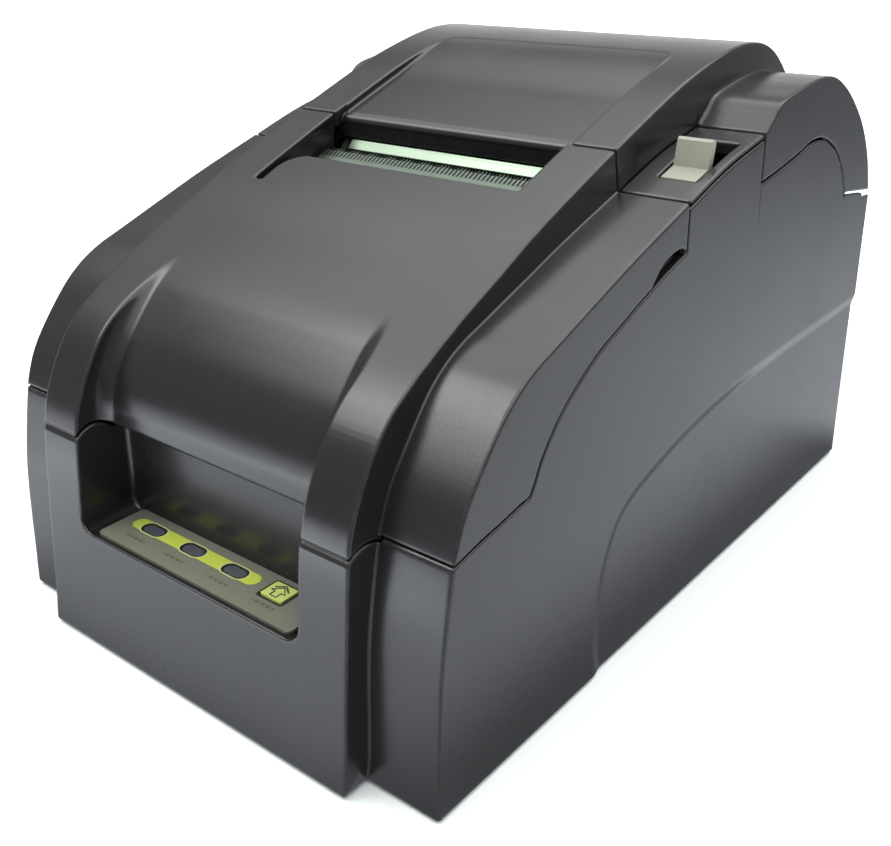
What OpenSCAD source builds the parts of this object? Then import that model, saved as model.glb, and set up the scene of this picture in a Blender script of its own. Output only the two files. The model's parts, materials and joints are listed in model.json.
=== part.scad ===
// Desktop impact receipt printer: a deep case with a raised centre band, a
// front cover that tips forward over the print mechanism, a roll cover that
// tips back over the paper bucket, and a control strip in a front recess.
// Millimetres. +X is to the right seen from the front, +Y runs to the rear,
// +Z is up. The origin is at the bottom centre of the whole printer.
// Parts are drawn with y = 0 at the front face, and place() centres them.

/* [Case] */
// overall width across the side walls
body_w = 160; // [160:0.5:166]
// thickness of the moulded side walls
wall = 2.6; // [2.2:0.1:3]
// thickness of the moulded covers
skin = 2.3; // [2:0.1:2.6]
// gap between a cover and its neighbours
gap = 0.8; // [0.6:0.1:1]

/* [Covers] */
// width of the raised centre band
band_w = 116; // [114:0.5:117]
// inner half width between the two front rails
scoop_hw = 42.8; // [42.6:0.1:43.2]
// depth of the recessed panel in the roll cover
panel_depth = 2.4; // [1.8:0.1:2.8]

/* [Lever] */
// width of the thumb lever
lever_w = 10; // [8:0.5:10.5]
// height of the thumb lever above its shield
lever_h = 7.2; // [6:0.2:8]

/* [Mechanism] */
// tooth count along the tear bar
tear_teeth = 68; // [40:2:72]
// radius of the carriage guide shaft
shaft_r = 3; // [2.5:0.1:3.2]
// radius of the driven paper rollers
feed_r = 5.4; // [4.8:0.1:5.5]

/* [Feet] */
// height of the rubber feet below the case
foot_h = 0.9; // [0.6:0.1:1.5]

/* [Hidden] */
eps = 0.01;
body_d = 248;
half_w = body_w/2;
band_half = band_w/2;
base_z = foot_h;

// axes along x, each (y, z)
front_hinge = [11, 57];
rear_hinge = [244.6, 101.7];
lever_pivot = [136, 89];
lever_y = lever_pivot[0];
lever_z = lever_pivot[1];
guide_axis = [84, 84];
feed_axis = [104.4, 111];
pinch_axis = [114.7, 111];

// rolling radius of the parting joint around the front hinge
cover_joint_r = 8.85;
pin_r = 1.5;
pin_bore_r = 1.55;
knuckle_r = 2.9;
// left edges and width of the case's rear knuckles
rear_knuckle_xs = [33, 43];
rear_knuckle_w = 4;

// rear edge of the front cover, and front edge of the roll cover's shoulders
front_cover_end = 112.6;
shoulder_start = 156.4;

// heights inside the case
plate_top = 4.3;
board_z = 9;
board_top = 10.6;
mech_z = 33;

// symmetric sets of four: x offset, front y, rear y
case_screw_spots = [70, 48, 202];
board_spots = [52, 150, 232];
mech_spots = [46, 44, 100];
foot_spots = [60, 24, 226];

// control recess in the case front
recess_hw = 42.5;
recess_z = 35;
recess_y = 21.5;
lamp_xs = [-25.9, -9.3, 7.3];
lamp_y = 15.1;
button_x = 23.7;
button_y = 15.2;
panel_post_xs = [-34, 34];
panel_post_y = 15;

// centre of the thumb lever across the case
lever_x = 71;

// ---------- helpers ----------
// point at fraction t of span i on a Catmull-Rom curve
function spline_point(pts, i, t) =
  let(a = pts[max(i-1,0)], b = pts[i], c = pts[min(i+1,len(pts)-1)], d = pts[min(i+2,len(pts)-1)])
  0.5*((2*b) + (c-a)*t + (2*a-5*b+4*c-d)*t*t + (3*b-a-3*c+d)*t*t*t);
// Catmull-Rom curve through control points
function curve(pts, steps=4) = concat(
  [for (i=[0:len(pts)-2], k=[0:steps-1]) spline_point(pts, i, k/steps)],
  [pts[len(pts)-1]]);
function arc(centre, r, from, to, steps) = [for (k=[0:steps])
  let(a = from+(to-from)*k/steps) [centre[0]+r*cos(a), centre[1]+r*sin(a)]];

module place() translate([0, -body_d/2, 0]) children();
// extrude a (y, z) drawing along x
module along_x(x0, x1) translate([x0, 0, 0]) rotate([90, 0, 90]) linear_extrude(x1-x0) children();
module both_sides() {
  children();
  mirror([1,0,0]) children();
}
module at_four(spots) for (side = [-1, 1], y = [spots[1], spots[2]])
  translate([side*spots[0], y, 0]) children();
// box from its x, y and z ranges
module box(x, y, z) translate([x[0], y[0], z[0]]) cube([x[1]-x[0], y[1]-y[0], z[1]-z[0]]);
// cylinders along x, y or z; the centre holds the other two coordinates
module rod_x(x0, x1, centre, r) translate([x0, centre[0], centre[1]]) rotate([0,90,0])
  cylinder(r=r, h=x1-x0, $fn=40);
module rod_y(y0, y1, centre, r) translate([centre[0], y0, centre[1]]) rotate([-90,0,0])
  cylinder(r=r, h=y1-y0, $fn=40);
module rod_z(z0, z1, r, centre=[0,0]) translate([centre[0], centre[1], z0])
  cylinder(r=r, h=z1-z0, $fn=40);
module disc(centre, r) translate(centre) circle(r=r, $fn=48);
module rounded_rect(x, y, r) translate([(x[0]+x[1])/2, (y[0]+y[1])/2]) offset(r=r, $fn=32)
  square([x[1]-x[0]-2*r, y[1]-y[0]-2*r], center=true);

// ---------- side profiles, (y, z) ----------
band_pts_in = [[0,base_z],[1,12],[2,28],[3.2,46],[4.8,63.5],[8.3,75.5],[16.4,89],[27,97.5],
  [45,107.3],[61,114.6],[78,122.3],[100,130.8],[125,139.8],[146.6,147],[163,151.2],[178,153.9],
  [190,154.5],[202,153],[213,148],[225,137.5],[236,123.5],[244,110],[body_d,100]];
shoulder_pts = curve([[8.2,base_z],[8.6,13],[9.8,40],[12.8,60],[15.6,71],[20.2,80],[30,92],
  [37.5,98.4],[45,102.4],[53,105.2],[69.7,111],[87.7,117.1],[112.4,124.6],[128.4,129.4],
  [140,132.2],[156,135]]);
rear_pts = curve([[155.9,134.8],[160.8,138.4],[166,142],[176.8,143.9],[186,145],[196,145.3],
  [206,143.8],[217.2,138.5],[228,130.6],[236,122.6],[243,112],[247.6,100]]);
// centre of the front cover, scooped back between the rails
scoop_pts = curve([[15.4,60],[15.4,66],[15.8,72.2],[17.9,79.4],[22.5,87.2],[28.1,94.2],
  [33.2,99.6],[38.2,103.7],[44,108.4]]);

module band_profile() polygon(concat(curve(band_pts_in), [[body_d,base_z]]));
module low_shoulder() polygon(concat(shoulder_pts, [[156,base_z]]));
module rear_shoulder() polygon(concat([[155.9,base_z]], rear_pts, [[body_d,100],[body_d,base_z]]));
module shoulder_profile() union() {
  low_shoulder();
  rear_shoulder();
}
// region in front of the scooped centre
module scoop_space(grow) offset(delta=grow)
  polygon(concat([[-20,60]], scoop_pts, [[40,125],[-20,125]]));

// lower edge of the front cover on the side walls, with the finger notch
side_low = concat(
  curve([[13.9,66.2],[23.3,68.1],[31,69.2],[38.5,70.5],[42.4,70.9]], 2),
  curve([[44.4,73.9],[47.6,79.6],[54.1,86.9],[62.3,92.9],[70.9,97.7],[79.8,101],[89.1,104.5],
    [95.2,106.5]], 2));
cover_edge = concat(side_low,
  curve([[96.6,108.2],[100.5,111.4],[105,112.9],[109.2,113.3],[111.6,112.6],[112.6,111.4]], 2));
// the case edge runs straight on below the notch
case_edge = concat(side_low, curve([[98.6,107.8],[103,109.2],[108,110.6],[112.6,111.9]], 2));
module front_side_region(grow) offset(delta=grow) polygon(concat(
  [[-20,64]], arc(front_hinge, cover_joint_r, 130, 75, 6),
  grow > 0 ? case_edge : cover_edge, [[front_cover_end,180],[-20,180]]));
// the front cover's region across the band
module front_band_region(grow) offset(delta=grow) polygon(concat(
  [[-20,64]], arc(front_hinge, cover_joint_r, 140, 44, 16),
  [[30,63],[60,75],[front_cover_end,100],[front_cover_end,180],[-20,180]]));

// lower edge of the roll cover on the side walls
roll_edge = curve([[shoulder_start,121.4],[168,122.9],[181.8,125.2],[190.2,127],[198.1,126.8],
  [205.1,124.6],[213.1,120],[219.7,112.7],[224,103.6]], 3);
module roll_side_region(grow) offset(delta=grow) polygon(concat(
  roll_edge, [[226,104.1],[262,98.4],[262,180],[shoulder_start,180]]));
module roll_band_region(grow) offset(delta=grow) polygon(concat(
  [[113.4,122.6],[156.2,132.6],[shoulder_start,121.4]], roll_edge,
  [[227,101.2],[262,101.2],[262,180],[113.4,180]]));

// lower rear area of each side wall, set back by a millimetre
module side_inset() polygon(concat(
  curve([[80,-5],[77.4,6],[76.5,13],[77,25],[80.4,37.5],[88.5,47.5],[106,53.4],[129,57.7],
    [161,60.5],[199,61.2],[225,61],[262,61]], 3),
  [[262,-5]]));

module outer_body() {
  along_x(-half_w, half_w) shoulder_profile();
  along_x(-band_half, band_half) band_profile();
}
// space each cover takes, grown all round
module front_cover_zone(grow) {
  along_x(-band_half-1, band_half+1) front_band_region(grow);
  both_sides() along_x(band_half+0.9, half_w+1) front_side_region(grow);
}
module roll_cover_zone(grow) {
  along_x(-band_half-1.2, band_half+1.2) roll_band_region(grow);
  both_sides() along_x(band_half+1.1, half_w+1) roll_side_region(grow);
}

// ---------- main case ----------
// recess opening seen from the front, with rounded lower corners
module recess_space(grow) {
  side = recess_hw+grow;
  depth = recess_y+grow;
  translate([0, depth, 0]) rotate([90,0,0]) linear_extrude(depth+5) union() {
    rounded_rect([-side,side], [recess_z-grow,recess_z+20], 4.6);
    translate([-side, recess_z+10]) square([2*side, 60]);
  }
}
module front_lugs() for (x = [46, 53.6]) along_x(x, x+2.4) difference() {
  union() {
    disc(front_hinge, 3.6);
    polygon([[3.2,46], [6.4,46], front_hinge+[2.6,-2.4], front_hinge+[0,3.5], [4.9,60]]);
  }
  disc(front_hinge, 1.6);
}
module rear_lugs() for (x = rear_knuckle_xs) along_x(x, x+rear_knuckle_w) union() {
  disc(rear_hinge, knuckle_r);
  translate([rear_hinge[0]-knuckle_r, 88]) square([2*knuckle_r, rear_hinge[1]-88]);
}
// outer walls, open below, with the box around the control recess
module case_walls() {
  difference() {
    outer_body();
    along_x(-half_w+wall, half_w-wall) offset(delta=-wall) shoulder_profile();
    along_x(-band_half+wall, band_half-wall) offset(delta=-wall) band_profile();
    // open bottom
    box([-half_w+wall,half_w-wall], [11.6,body_d-wall], [-1,20]);
    box([-band_half+wall,band_half-wall], [3.4,60], [-1,20]);
  }
  intersection() {
    recess_space(2.2);
    along_x(-60, 60) band_profile();
    box([-60,60], [0,24], [30,70]);
  }
}
module case_shell() difference() {
  case_walls();
  recess_space(0);
  box([-recess_hw,recess_hw], [-5,recess_y], [recess_z+6,80]);
  front_cover_zone(gap);
  roll_cover_zone(gap);
  // deck opening between the two covers
  box([-half_w-1,half_w+1], [front_cover_end-eps,156.5], [136,180]);
  both_sides() along_x(band_half-20, half_w+1) difference() {
    polygon([[112.5,110],[155.9,110],[155.9,180],[112.5,180]]);
    translate([0,-1.75]) low_shoulder();
  }
  box([-half_w+wall,half_w-wall], [112.5,156.5], [100,180]);
  // wide gap under the roll cover's rear edge
  along_x(-half_w-1, half_w+1)
    polygon([[224.4,102.7],[239.4,100.4],[240.6,97.8],[262,97.8],[262,110],[224.4,110]]);
  both_sides() along_x(half_w-1, half_w+1) side_inset();
  box([-band_half-1.3,band_half+1.3], [70,156.5], [90,180]);
}
module main_case() color([0.09,0.09,0.10]) place() difference() {
  union() {
    case_shell();
    // posts for the panel board under the recess floor
    for (x = panel_post_xs) rod_z(28, 33.4, 2.4, [x, panel_post_y]);
    both_sides() front_lugs();
    both_sides() rear_lugs();
    // lip that closes the finger notch from inside
    both_sides() along_x(75.2, 77.2) polygon([[90,98],[112,98],[112,115.2],[104,115],[95.5,111]]);
    both_sides() along_x(76, half_w-wall+0.2) polygon([[90,98],[111.6,98],[111.6,105],[96,103.5]]);
    // ledge that carries the base plate, and screw posts
    both_sides() box([band_half+12,half_w-wall+eps], [40,210], [4.4,6.4]);
    at_four(case_screw_spots) rod_z(4.4, 22, 4.2);
  }
  // hinge and screw bores
  both_sides() along_x(46, 56) disc(front_hinge, 1.6);
  both_sides() rod_x(32, 48, rear_hinge, pin_bore_r);
  at_four(case_screw_spots) rod_z(4, 16, 1.3);
  // connector plate opening in the rear wall
  box([-46,46], [240,260], [10,42]);
  // feed button and lamp openings in the recess floor
  box([button_x-4.3,button_x+4.3], [button_y-3.8,button_y+3.8], [20,36]);
  for (x = lamp_xs) box([x-4,x+4], [lamp_y-2.1,lamp_y+2.1], [20,36]);
  // power switch opening, low at the front of the left side wall
  box([-half_w-1,-half_w+wall+1], [28,48], [22,35]);
}

module base_plate() color([0.12,0.12,0.13]) place() difference() {
  union() {
    box([-half_w+wall+0.4,half_w-wall-0.4], [12.2,body_d-wall-0.4], [base_z+0.4,plate_top]);
    box([-band_half+wall+0.4,band_half-wall-0.4], [4.4,13], [base_z+0.4,plate_top]);
    at_four(board_spots) rod_z(plate_top-0.1, board_z, 3.2);
    // stiffening ribs
    for (x = [-30, 0, 30]) box([x-0.9,x+0.9], [30,130], [plate_top-0.1,8]);
    at_four(mech_spots) rod_z(plate_top-0.1, mech_z, 4.4);
  }
  at_four(case_screw_spots) {
    rod_z(0, 6, 1.8);
    rod_z(0, base_z+2.2, 3.4);
  }
  at_four(board_spots) rod_z(2.4, 10, 1.2);
  at_four(mech_spots) rod_z(14, 34, 1.3);
  // feet sockets
  at_four(foot_spots) rod_z(-1, base_z+1.6, 6.1);
  // cooling slots
  for (i = [0:6]) box([-24,24], [150+i*9,153+i*9], [0,5]);
}

// ---------- inner frame: decks beside the band and the roll bucket ----------
// right deck, flush with the shoulder and hollow below
module deck() difference() {
  deck_y = front_cover_end+gap+0.1;
  intersection() {
    along_x(band_half+1.4, half_w) low_shoulder();
    along_x(band_half+1.4, half_w)
      polygon([[deck_y,118.6],[155.7,129.6],[155.7,150],[deck_y,150]]);
  }
  along_x(band_half+3.6, half_w-wall-0.5) translate([0,-2.2]) offset(delta=-1.6) polygon(concat(
    [[100,100]], [for (p=shoulder_pts) if (p[0]>100) p], [[170,137.5],[170,100]]));
  // rebate so the deck rim sits over the side wall
  along_x(half_w-wall-0.4, half_w+1) translate([0,-1]) low_shoulder();
}
module inner_frame() color([0.10,0.10,0.11]) place() difference() {
  union() {
    both_sides() deck();
    // skirts that hang the bucket from the decks
    both_sides() box([band_half+1.4,band_half+3.6], [113.6,155.6], [100,121.5]);
    both_sides() box([42.8,band_half+3.6], [124,155.6], [98,100.4]);
    // bucket side walls
    both_sides() along_x(40.4, 42.8)
      polygon([[124,58],[134,47],[206,47],[219,60],[219,98],[150,100.4],[124,100.4]]);
    // bucket floor with its front and rear walls
    along_x(-42.8, 42.8)
      polygon([[122.6,60],[133,46],[207,46],[219.6,60],[219.6,98],[217.4,98],[217.4,61],
        [206,48.2],[134,48.2],[124.9,60.6],[124.9,96],[122.6,96]]);
    // front feet of the bucket on the base plate, rear wings to the side walls
    for (x = [-34, 34]) box([x-1.2,x+1.2], [130,142], [plate_top,48.1]);
    both_sides() box([42.7,half_w-wall-0.2], [205,207.4], [60,96]);
  }
  // lever slot, and the window where the latch nose reaches in
  box([lever_x-5.6,lever_x+5.6], [122.4,147.2], [110,150]);
  box([band_half,band_half+4], [122,139], [106,118.4]);
}

// ---------- front cover ----------
// rounded and slit on the left, running into the rail on the right
module tongue() union() {
  rounded_rect([-39.6,60], [60,90.4], 8);
  translate([-39.6,50]) square([90,30]);
  translate([30,60]) square([20,30.4]);
}
module front_cover_hollow() difference() {
  union() {
    along_x(-half_w+skin, half_w-skin) offset(delta=-skin) shoulder_profile();
    along_x(-band_half+skin, band_half-skin) offset(delta=-skin) band_profile();
  }
  // keep the walls of the scoop and of the paper exit
  along_x(-scoop_hw-skin, scoop_hw+skin) scoop_space(skin);
  both_sides() along_x(scoop_hw-0.1, scoop_hw+skin)
    polygon([[76.8-skin,112],[95,120.4],[112.7,120.4],[112.7,140],[76.8-skin,140]]);
}
module front_hinge_arm() along_x(48.8, 53.2) difference() {
  union() {
    disc(front_hinge, 3.2);
    polygon([front_hinge+[-0.5,3.1], front_hinge+[2.2,-2.3], [26.5,62.2], [29.5,66], [32,99],
      [22.6,92.6], [22.9,67.2]]);
  }
  disc(front_hinge, pin_bore_r);
}
module front_cover() color([0.09,0.09,0.10]) place() difference() {
  union() {
    difference() {
      intersection() {
        outer_body();
        front_cover_zone(0);
      }
      along_x(-scoop_hw, scoop_hw) scoop_space(0);
      front_cover_hollow();
      // top opening: a slit beside the tongue and the paper exit behind it
      translate([0,0,112]) linear_extrude(40) difference() {
        translate([-scoop_hw+0.1, 77]) square([2*scoop_hw-0.2, 40]);
        tongue();
      }
    }
    both_sides() front_hinge_arm();
  }
  both_sides() rod_x(48, 54, front_hinge, pin_bore_r);
}

// ---------- roll cover ----------
module panel_plan(grow) translate([0,0,100]) linear_extrude(80)
  offset(delta=grow) rounded_rect([-42,44], [60,172], 6);
// depth of the panel floor, easing out to the surface at its rear edge
function floor_depth(y) = let(t = max(0, min(1, (y-157)/14)))
  (panel_depth+0.06)*(1-t*t*(3-2*t)) - 0.06;
panel_pts = [for (p=curve(band_pts_in, 6)) if (p[0] > 104 && p[0] < 176)
  [p[0], p[1]-floor_depth(p[0])]];

// hollow under the band, thicker below the recessed panel
module roll_band_hollow() difference() {
  along_x(-band_half+skin, band_half-skin) intersection() {
    offset(delta=-skin) band_profile();
    translate([110,60]) square([134,120]);
  }
  intersection() {
    along_x(-44.2, 46.2) difference() {
      translate([0,30]) band_profile();
      translate([0,-panel_depth-skin]) band_profile();
    }
    panel_plan(skin);
  }
  // front wall
  along_x(-scoop_hw, scoop_hw) translate([116.3,127.3]) square([2.2,20]);
}
// paper exit in front of the front wall, which is rounded over it
module paper_exit() difference() {
  box([-scoop_hw+0.1,scoop_hw-0.1], [100,118.15], [90,180]);
  along_x(-50, 50) union() {
    disc([119,132.32], 2.7);
    translate([119,127.3]) square([10,30]);
    translate([116.3,127.3]) square([5,4.9]);
  }
}
module roll_shell() difference() {
  intersection() {
    outer_body();
    roll_cover_zone(0);
    box([-half_w-1,half_w+1], [113.4,260], [90,170]);
  }
  // recessed panel, open towards the paper exit
  intersection() {
    along_x(-45, 47) polygon(concat(panel_pts, [[176,185],[104,185]]));
    panel_plan(0);
  }
  // hollow under the shoulders behind the decks
  along_x(-half_w+skin, half_w-skin) intersection() {
    offset(delta=-skin) rear_shoulder();
    translate([shoulder_start+skin,60]) square([100,120]);
  }
  roll_band_hollow();
  // only the band reaches forward between the decks
  both_sides() box([band_half+0.01,half_w+1], [100,shoulder_start], [90,180]);
  paper_exit();
  // notches around the case knuckles
  both_sides() for (x = rear_knuckle_xs)
    box([x-0.4,x+rear_knuckle_w+0.4], [238,250], [95,105.4]);
}
module roll_cover() color([0.09,0.09,0.10]) place() difference() {
  union() {
    roll_shell();
    // cover knuckles
    both_sides() along_x(37.5, 42.5) union() {
      disc(rear_hinge, knuckle_r);
      polygon([rear_hinge-[knuckle_r,0], rear_hinge+[knuckle_r,0],
        [rear_hinge[0]+2.3,106], [rear_hinge[0]-3,112], [rear_hinge[0]-7.5,114]]);
    }
    // ribs that carry the platen bracket
    both_sides() along_x(44, 46.2) intersection() {
      offset(delta=-1) band_profile();
      translate([117,127.3]) square([33,30]);
    }
    // striker tab for the latch
    along_x(band_half-skin, band_half-0.01)
      polygon([[119,111],[125.4,111],[125.4,116],[130,130],[117,126.4]]);
  }
  both_sides() rod_x(30, 50, rear_hinge, pin_bore_r);
}

module front_hinge_pins() color([0.75,0.76,0.78]) place()
  both_sides() rod_x(46.2, 55.8, front_hinge, pin_r);
module rear_hinge_pins() color([0.75,0.76,0.78]) place()
  both_sides() rod_x(33.2, 46.8, rear_hinge, pin_r);

// ---------- release lever ----------
module release_lever() color([0.82,0.82,0.78]) place() difference() {
  union() {
    // upright thumb tab, leaning back
    along_x(lever_x-lever_w/2, lever_x+lever_w/2)
      polygon([[129.6,128.6],[131.9,128.9],[133.6,128.5+lever_h],[133.1,129.6+lever_h],
        [132,129.8+lever_h],[131.2,129.2+lever_h]]);
    // shield over the front of the slot
    along_x(lever_x-lever_w/2, lever_x+lever_w/2)
      polygon([[122.9,125.6],[122.9,127.6],[129.8,129.4],[131.9,129.4],[132.4,127.4]]);
    // arm down to the pivot
    along_x(lever_x-3, lever_x+3)
      polygon([[125,126.2],[131.8,128],[lever_y+3.5,lever_z],[lever_y-3.5,lever_z]]);
    rod_x(lever_x-4.5, lever_x+4.5, lever_pivot, 4.6);
    // latch arm reaching beside the striker
    along_x(62.6, 65) union() {
      disc(lever_pivot, 4.6);
      polygon([[lever_y-4.5,lever_z-1],[lever_y+3,lever_z+3],[131.5,112],[129.4,116.4],
        [126.2,116.4],[126.2,112]]);
    }
    rod_x(62.6, 67, lever_pivot, 4.6);
    // nose that stands behind the striker tab
    rod_x(band_half-1.8, 63, [127.1,114.5], 1.1);
  }
  rod_x(60, 80, lever_pivot, 2.05);
}
module lever_shaft() color([0.72,0.73,0.75]) place() union() {
  rod_x(58.6, 76.6, lever_pivot, 2);
  // bracket that holds the shaft, standing on the base plate
  along_x(58.6, 60.6) polygon([[lever_y-6,20],[lever_y+6,20],[lever_y+4,lever_z+4],
    [lever_y-4,lever_z+4]]);
  box([58.6,72], [lever_y-6,lever_y+6], [18.4,20.2]);
  along_x(58.6, 60.6)
    polygon([[lever_y-6,plate_top],[lever_y+6,plate_top],[lever_y+6,21],[lever_y-6,21]]);
}
// separate rings side by side around the shaft
module lever_spring() color([0.7,0.71,0.73]) place() for (i = [0:5])
  translate([60.9+0.27*i, lever_y, lever_z]) rotate([0,90,0]) difference() {
    cylinder(r=3.9, h=0.24, $fn=40);
    translate([0,0,-1]) cylinder(r=3.3, h=2, $fn=40);
  }

// ---------- control strip ----------
module control_panel() color([0.55,0.56,0.52]) place() difference() {
  translate([0,0,recess_z]) linear_extrude(0.9) rounded_rect([-37.8,37.4], [4.6,21], 1.6);
  for (x = lamp_xs) translate([x,lamp_y,30]) linear_extrude(10)
    rounded_rect([-3.75,3.75], [-2,2], 1.9);
  box([button_x-4,button_x+4], [button_y-3.5,button_y+3.5], [30,40]);
}
module led_lenses() color([0.12,0.12,0.12,0.8]) place() for (x = lamp_xs)
  translate([x,lamp_y,recess_z-2.6]) linear_extrude(3.35)
    rounded_rect([-3.6,3.6], [-1.85,1.85], 1.75);
// cap on a narrower stem
module feed_button() color([0.72,0.85,0.2]) place() union() {
  translate([button_x,button_y,33.6]) linear_extrude(2.7)
    rounded_rect([-3.75,3.75], [-3.25,3.25], 0.6);
  translate([button_x,button_y,31.2]) linear_extrude(2.5)
    rounded_rect([-2.2,2.2], [-2,2], 0.5);
}
module panel_board() color([0.1,0.35,0.2]) place() difference() {
  union() {
    box([-38,38], [9,21], [26.4,28]);
    for (x = lamp_xs) rod_z(27.9, 32, 1.5, [x, lamp_y]);
    box([button_x-2.8,button_x+2.8], [button_y-2.8,button_y+2.8], [27.9,30]);
  }
  for (x = panel_post_xs) rod_z(20, 30, 1.2, [x, panel_post_y]);
}

// ---------- print mechanism ----------
sheet = 1.2;
// inner and outer faces of the right side plate, and the width between plates
side_in = 50;
side_out = side_in+sheet;
mech_half = side_in-0.1;
// inner face of the feed motor flange, where shafts and standoffs end
flange_x = 55.2;
// carriage drive axes along y, (x, z)
drive_at = [-39.5, 76];
idler_at = [40, 76];
belt_span = idler_at[0]-drive_at[0];
belt_mid = (idler_at[0]+drive_at[0])/2;
// ribbon knob axis, (x, y)
knob_at = [30, 56];

module mech_side() difference() {
  union() {
    along_x(side_in, side_out) polygon([[38,34],[107,34],[109.2,104],[109.6,117],
      [108.2,119.4],[100,119.4],[92,108],[70,100],[62,92],[38,88]]);
    box([42,side_out], [40,104], [mech_z,mech_z+sheet]);
    box([side_in,side_out], [40,104], [mech_z,36]);
  }
  rod_x(40, 60, guide_axis, shaft_r+0.05);
  rod_x(40, 60, feed_axis, 2.05);
  at_four(mech_spots) rod_z(30, 35, 1.8);
}
module mech_side_right() color([0.70,0.71,0.73]) place() union() {
  mech_side();
  // stub axle of the transfer gear and the motor standoffs
  rod_x(51, flange_x, transfer_axis, 1.5);
  for (ear = motor_ears) rod_x(51, flange_x, ear, 2);
}
module mech_side_left() color([0.70,0.71,0.73]) place() mirror([1,0,0]) mech_side();
module mech_base() color([0.68,0.69,0.71]) place() union() {
  difference() {
    box([-mech_half,mech_half], [40,104], [34.2,35.4]);
    at_four(mech_spots) rod_z(30, 40, 1.8);
  }
  box([-mech_half,mech_half], [40,41.2], [35.3,60]);
  // motor and pulley stands
  difference() {
    box([-mech_half,-26], [66,67.2], [35.3,91]);
    rod_y(60, 70, drive_at, 4);
  }
  box([34,46], [66,67.2], [35.3,84]);
  rod_y(67, 76, idler_at, 1);
}
module guide_shaft() color([0.80,0.81,0.83]) place() rod_x(-51.6, 51.6, guide_axis, shaft_r);
module rear_rail() color([0.72,0.73,0.75]) place()
  box([-mech_half,mech_half], [99,100.2], [70,78.4]);
module carriage() color([0.13,0.13,0.14]) place() difference() {
  union() {
    box([-15,15], [guide_axis[0]-7,103.5], [77,91]);
    box([-15,15], [96.6,102.8], [73,78]);
    // belt clamp
    box([-3,3], [69,78], [78.6,84.4]);
  }
  rod_x(-20, 20, guide_axis, shaft_r+0.05);
  // groove over the rear rail
  box([-20,20], [98.8,100.4], [70,78.7]);
  // clear of the upper belt strand
  box([-20,20], [68,74.6], [79.9,81.2]);
}
module print_head() color([0.55,0.56,0.58]) place() union() {
  box([-10,10], [80.6,100], [91,106]);
  // nose towards the platen
  along_x(-5, 5) polygon([[100,93],[108.6,97],[108.6,102.6],[100,105]]);
  // upright fins
  for (i = [0:6]) box([-12,12], [80.6+i*2.6,81.8+i*2.6], [92,112]);
}
module ribbon_cassette() color([0.16,0.16,0.17]) place() difference() {
  // flat case with an arm at each end that carries the ribbon to the platen
  translate([0,0,92.6]) linear_extrude(9.2) offset(r=1, $fn=24)
    polygon([[-47.6,45],[47.6,45],[47.6,104],[45.6,107.8],[45.2,107.8],[44.9,77],
      [-44.9,77],[-45.2,107.8],[-45.6,107.8],[-47.6,104]]);
  rod_z(98, 110, 8.4, knob_at);
  rod_z(90, 110, 2.05, knob_at);
  // grip dimples
  both_sides() box([46,50], [50,66], [99.5,110]);
}
module ribbon_band() color([0.05,0.05,0.07]) place() box([-46,46], [109.0,109.2], [94.2,100.8]);
module ribbon_knob() color([0.75,0.75,0.72]) place() union() {
  rod_z(98.2, 101.4, 8, knob_at);
  rod_z(94, 98.3, 2, knob_at);
  box([29.2,30.8], [49.5,62.5], [101.3,103.2]);
}
module carriage_motor() color([0.45,0.46,0.48]) place() union() {
  rod_y(42, 65.9, drive_at, 10.3);
  rod_y(65.8, 66.1, drive_at, 3.9);
  rod_y(66, 77, drive_at, 1);
}
// flanged belt pulley
module pulley(centre) difference() {
  union() {
    rod_y(69.6, 74.4, centre, 4);
    rod_y(68.8, 69.7, centre, 5.2);
    rod_y(74.3, 75.2, centre, 5.2);
  }
  rod_y(60, 80, centre, 1.05);
}
module drive_pulley() color([0.85,0.80,0.6]) place() pulley(drive_at);
module idler_pulley() color([0.85,0.80,0.6]) place() pulley(idler_at);
module belt_loop(r) translate([belt_mid,-drive_at[1]]) offset(r=r, $fn=48)
  square([belt_span,0.02], center=true);
module drive_belt() color([0.08,0.08,0.08]) place()
  translate([0,69.9,0]) rotate([-90,0,0]) linear_extrude(4.2) difference() {
    belt_loop(5);
    belt_loop(4.12);
  }

// ---------- paper feed ----------
module roller_row(axis, r, bore_r) for (x = [-27:18:27]) difference() {
  rod_x(x-5, x+5, axis, r);
  rod_x(x-7, x+7, axis, bore_r);
}
module feed_shaft() color([0.78,0.79,0.81]) place() rod_x(-52, flange_x, feed_axis, 2);
module feed_rollers() color([0.14,0.14,0.15]) place() roller_row(feed_axis, feed_r, 1.99);

tooth_module = 0.8;
feed_teeth = 22;
transfer_teeth = 30;
pinion_teeth = 12;
// directions from the feed shaft to the transfer gear, and on to the motor
transfer_dir = 240;
motor_dir = 280;
// axis at meshing distance from another gear's axis
function mesh_axis(from, teeth_sum, dir) =
  from + tooth_module*teeth_sum/2*[cos(dir), sin(dir)];
transfer_axis = mesh_axis(feed_axis, feed_teeth+transfer_teeth, transfer_dir);
motor_axis = mesh_axis(transfer_axis, transfer_teeth+pinion_teeth, motor_dir);
motor_ears = [for (side = [-1, 1]) motor_axis+[side*12.4, -7]];
// corners of one tooth: angle in tooth pitches, radius from the pitch circle in modules
tooth_corners = [[-0.29,-1.1], [-0.13,0.85], [0.13,0.85], [0.29,-1.1]];

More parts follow.
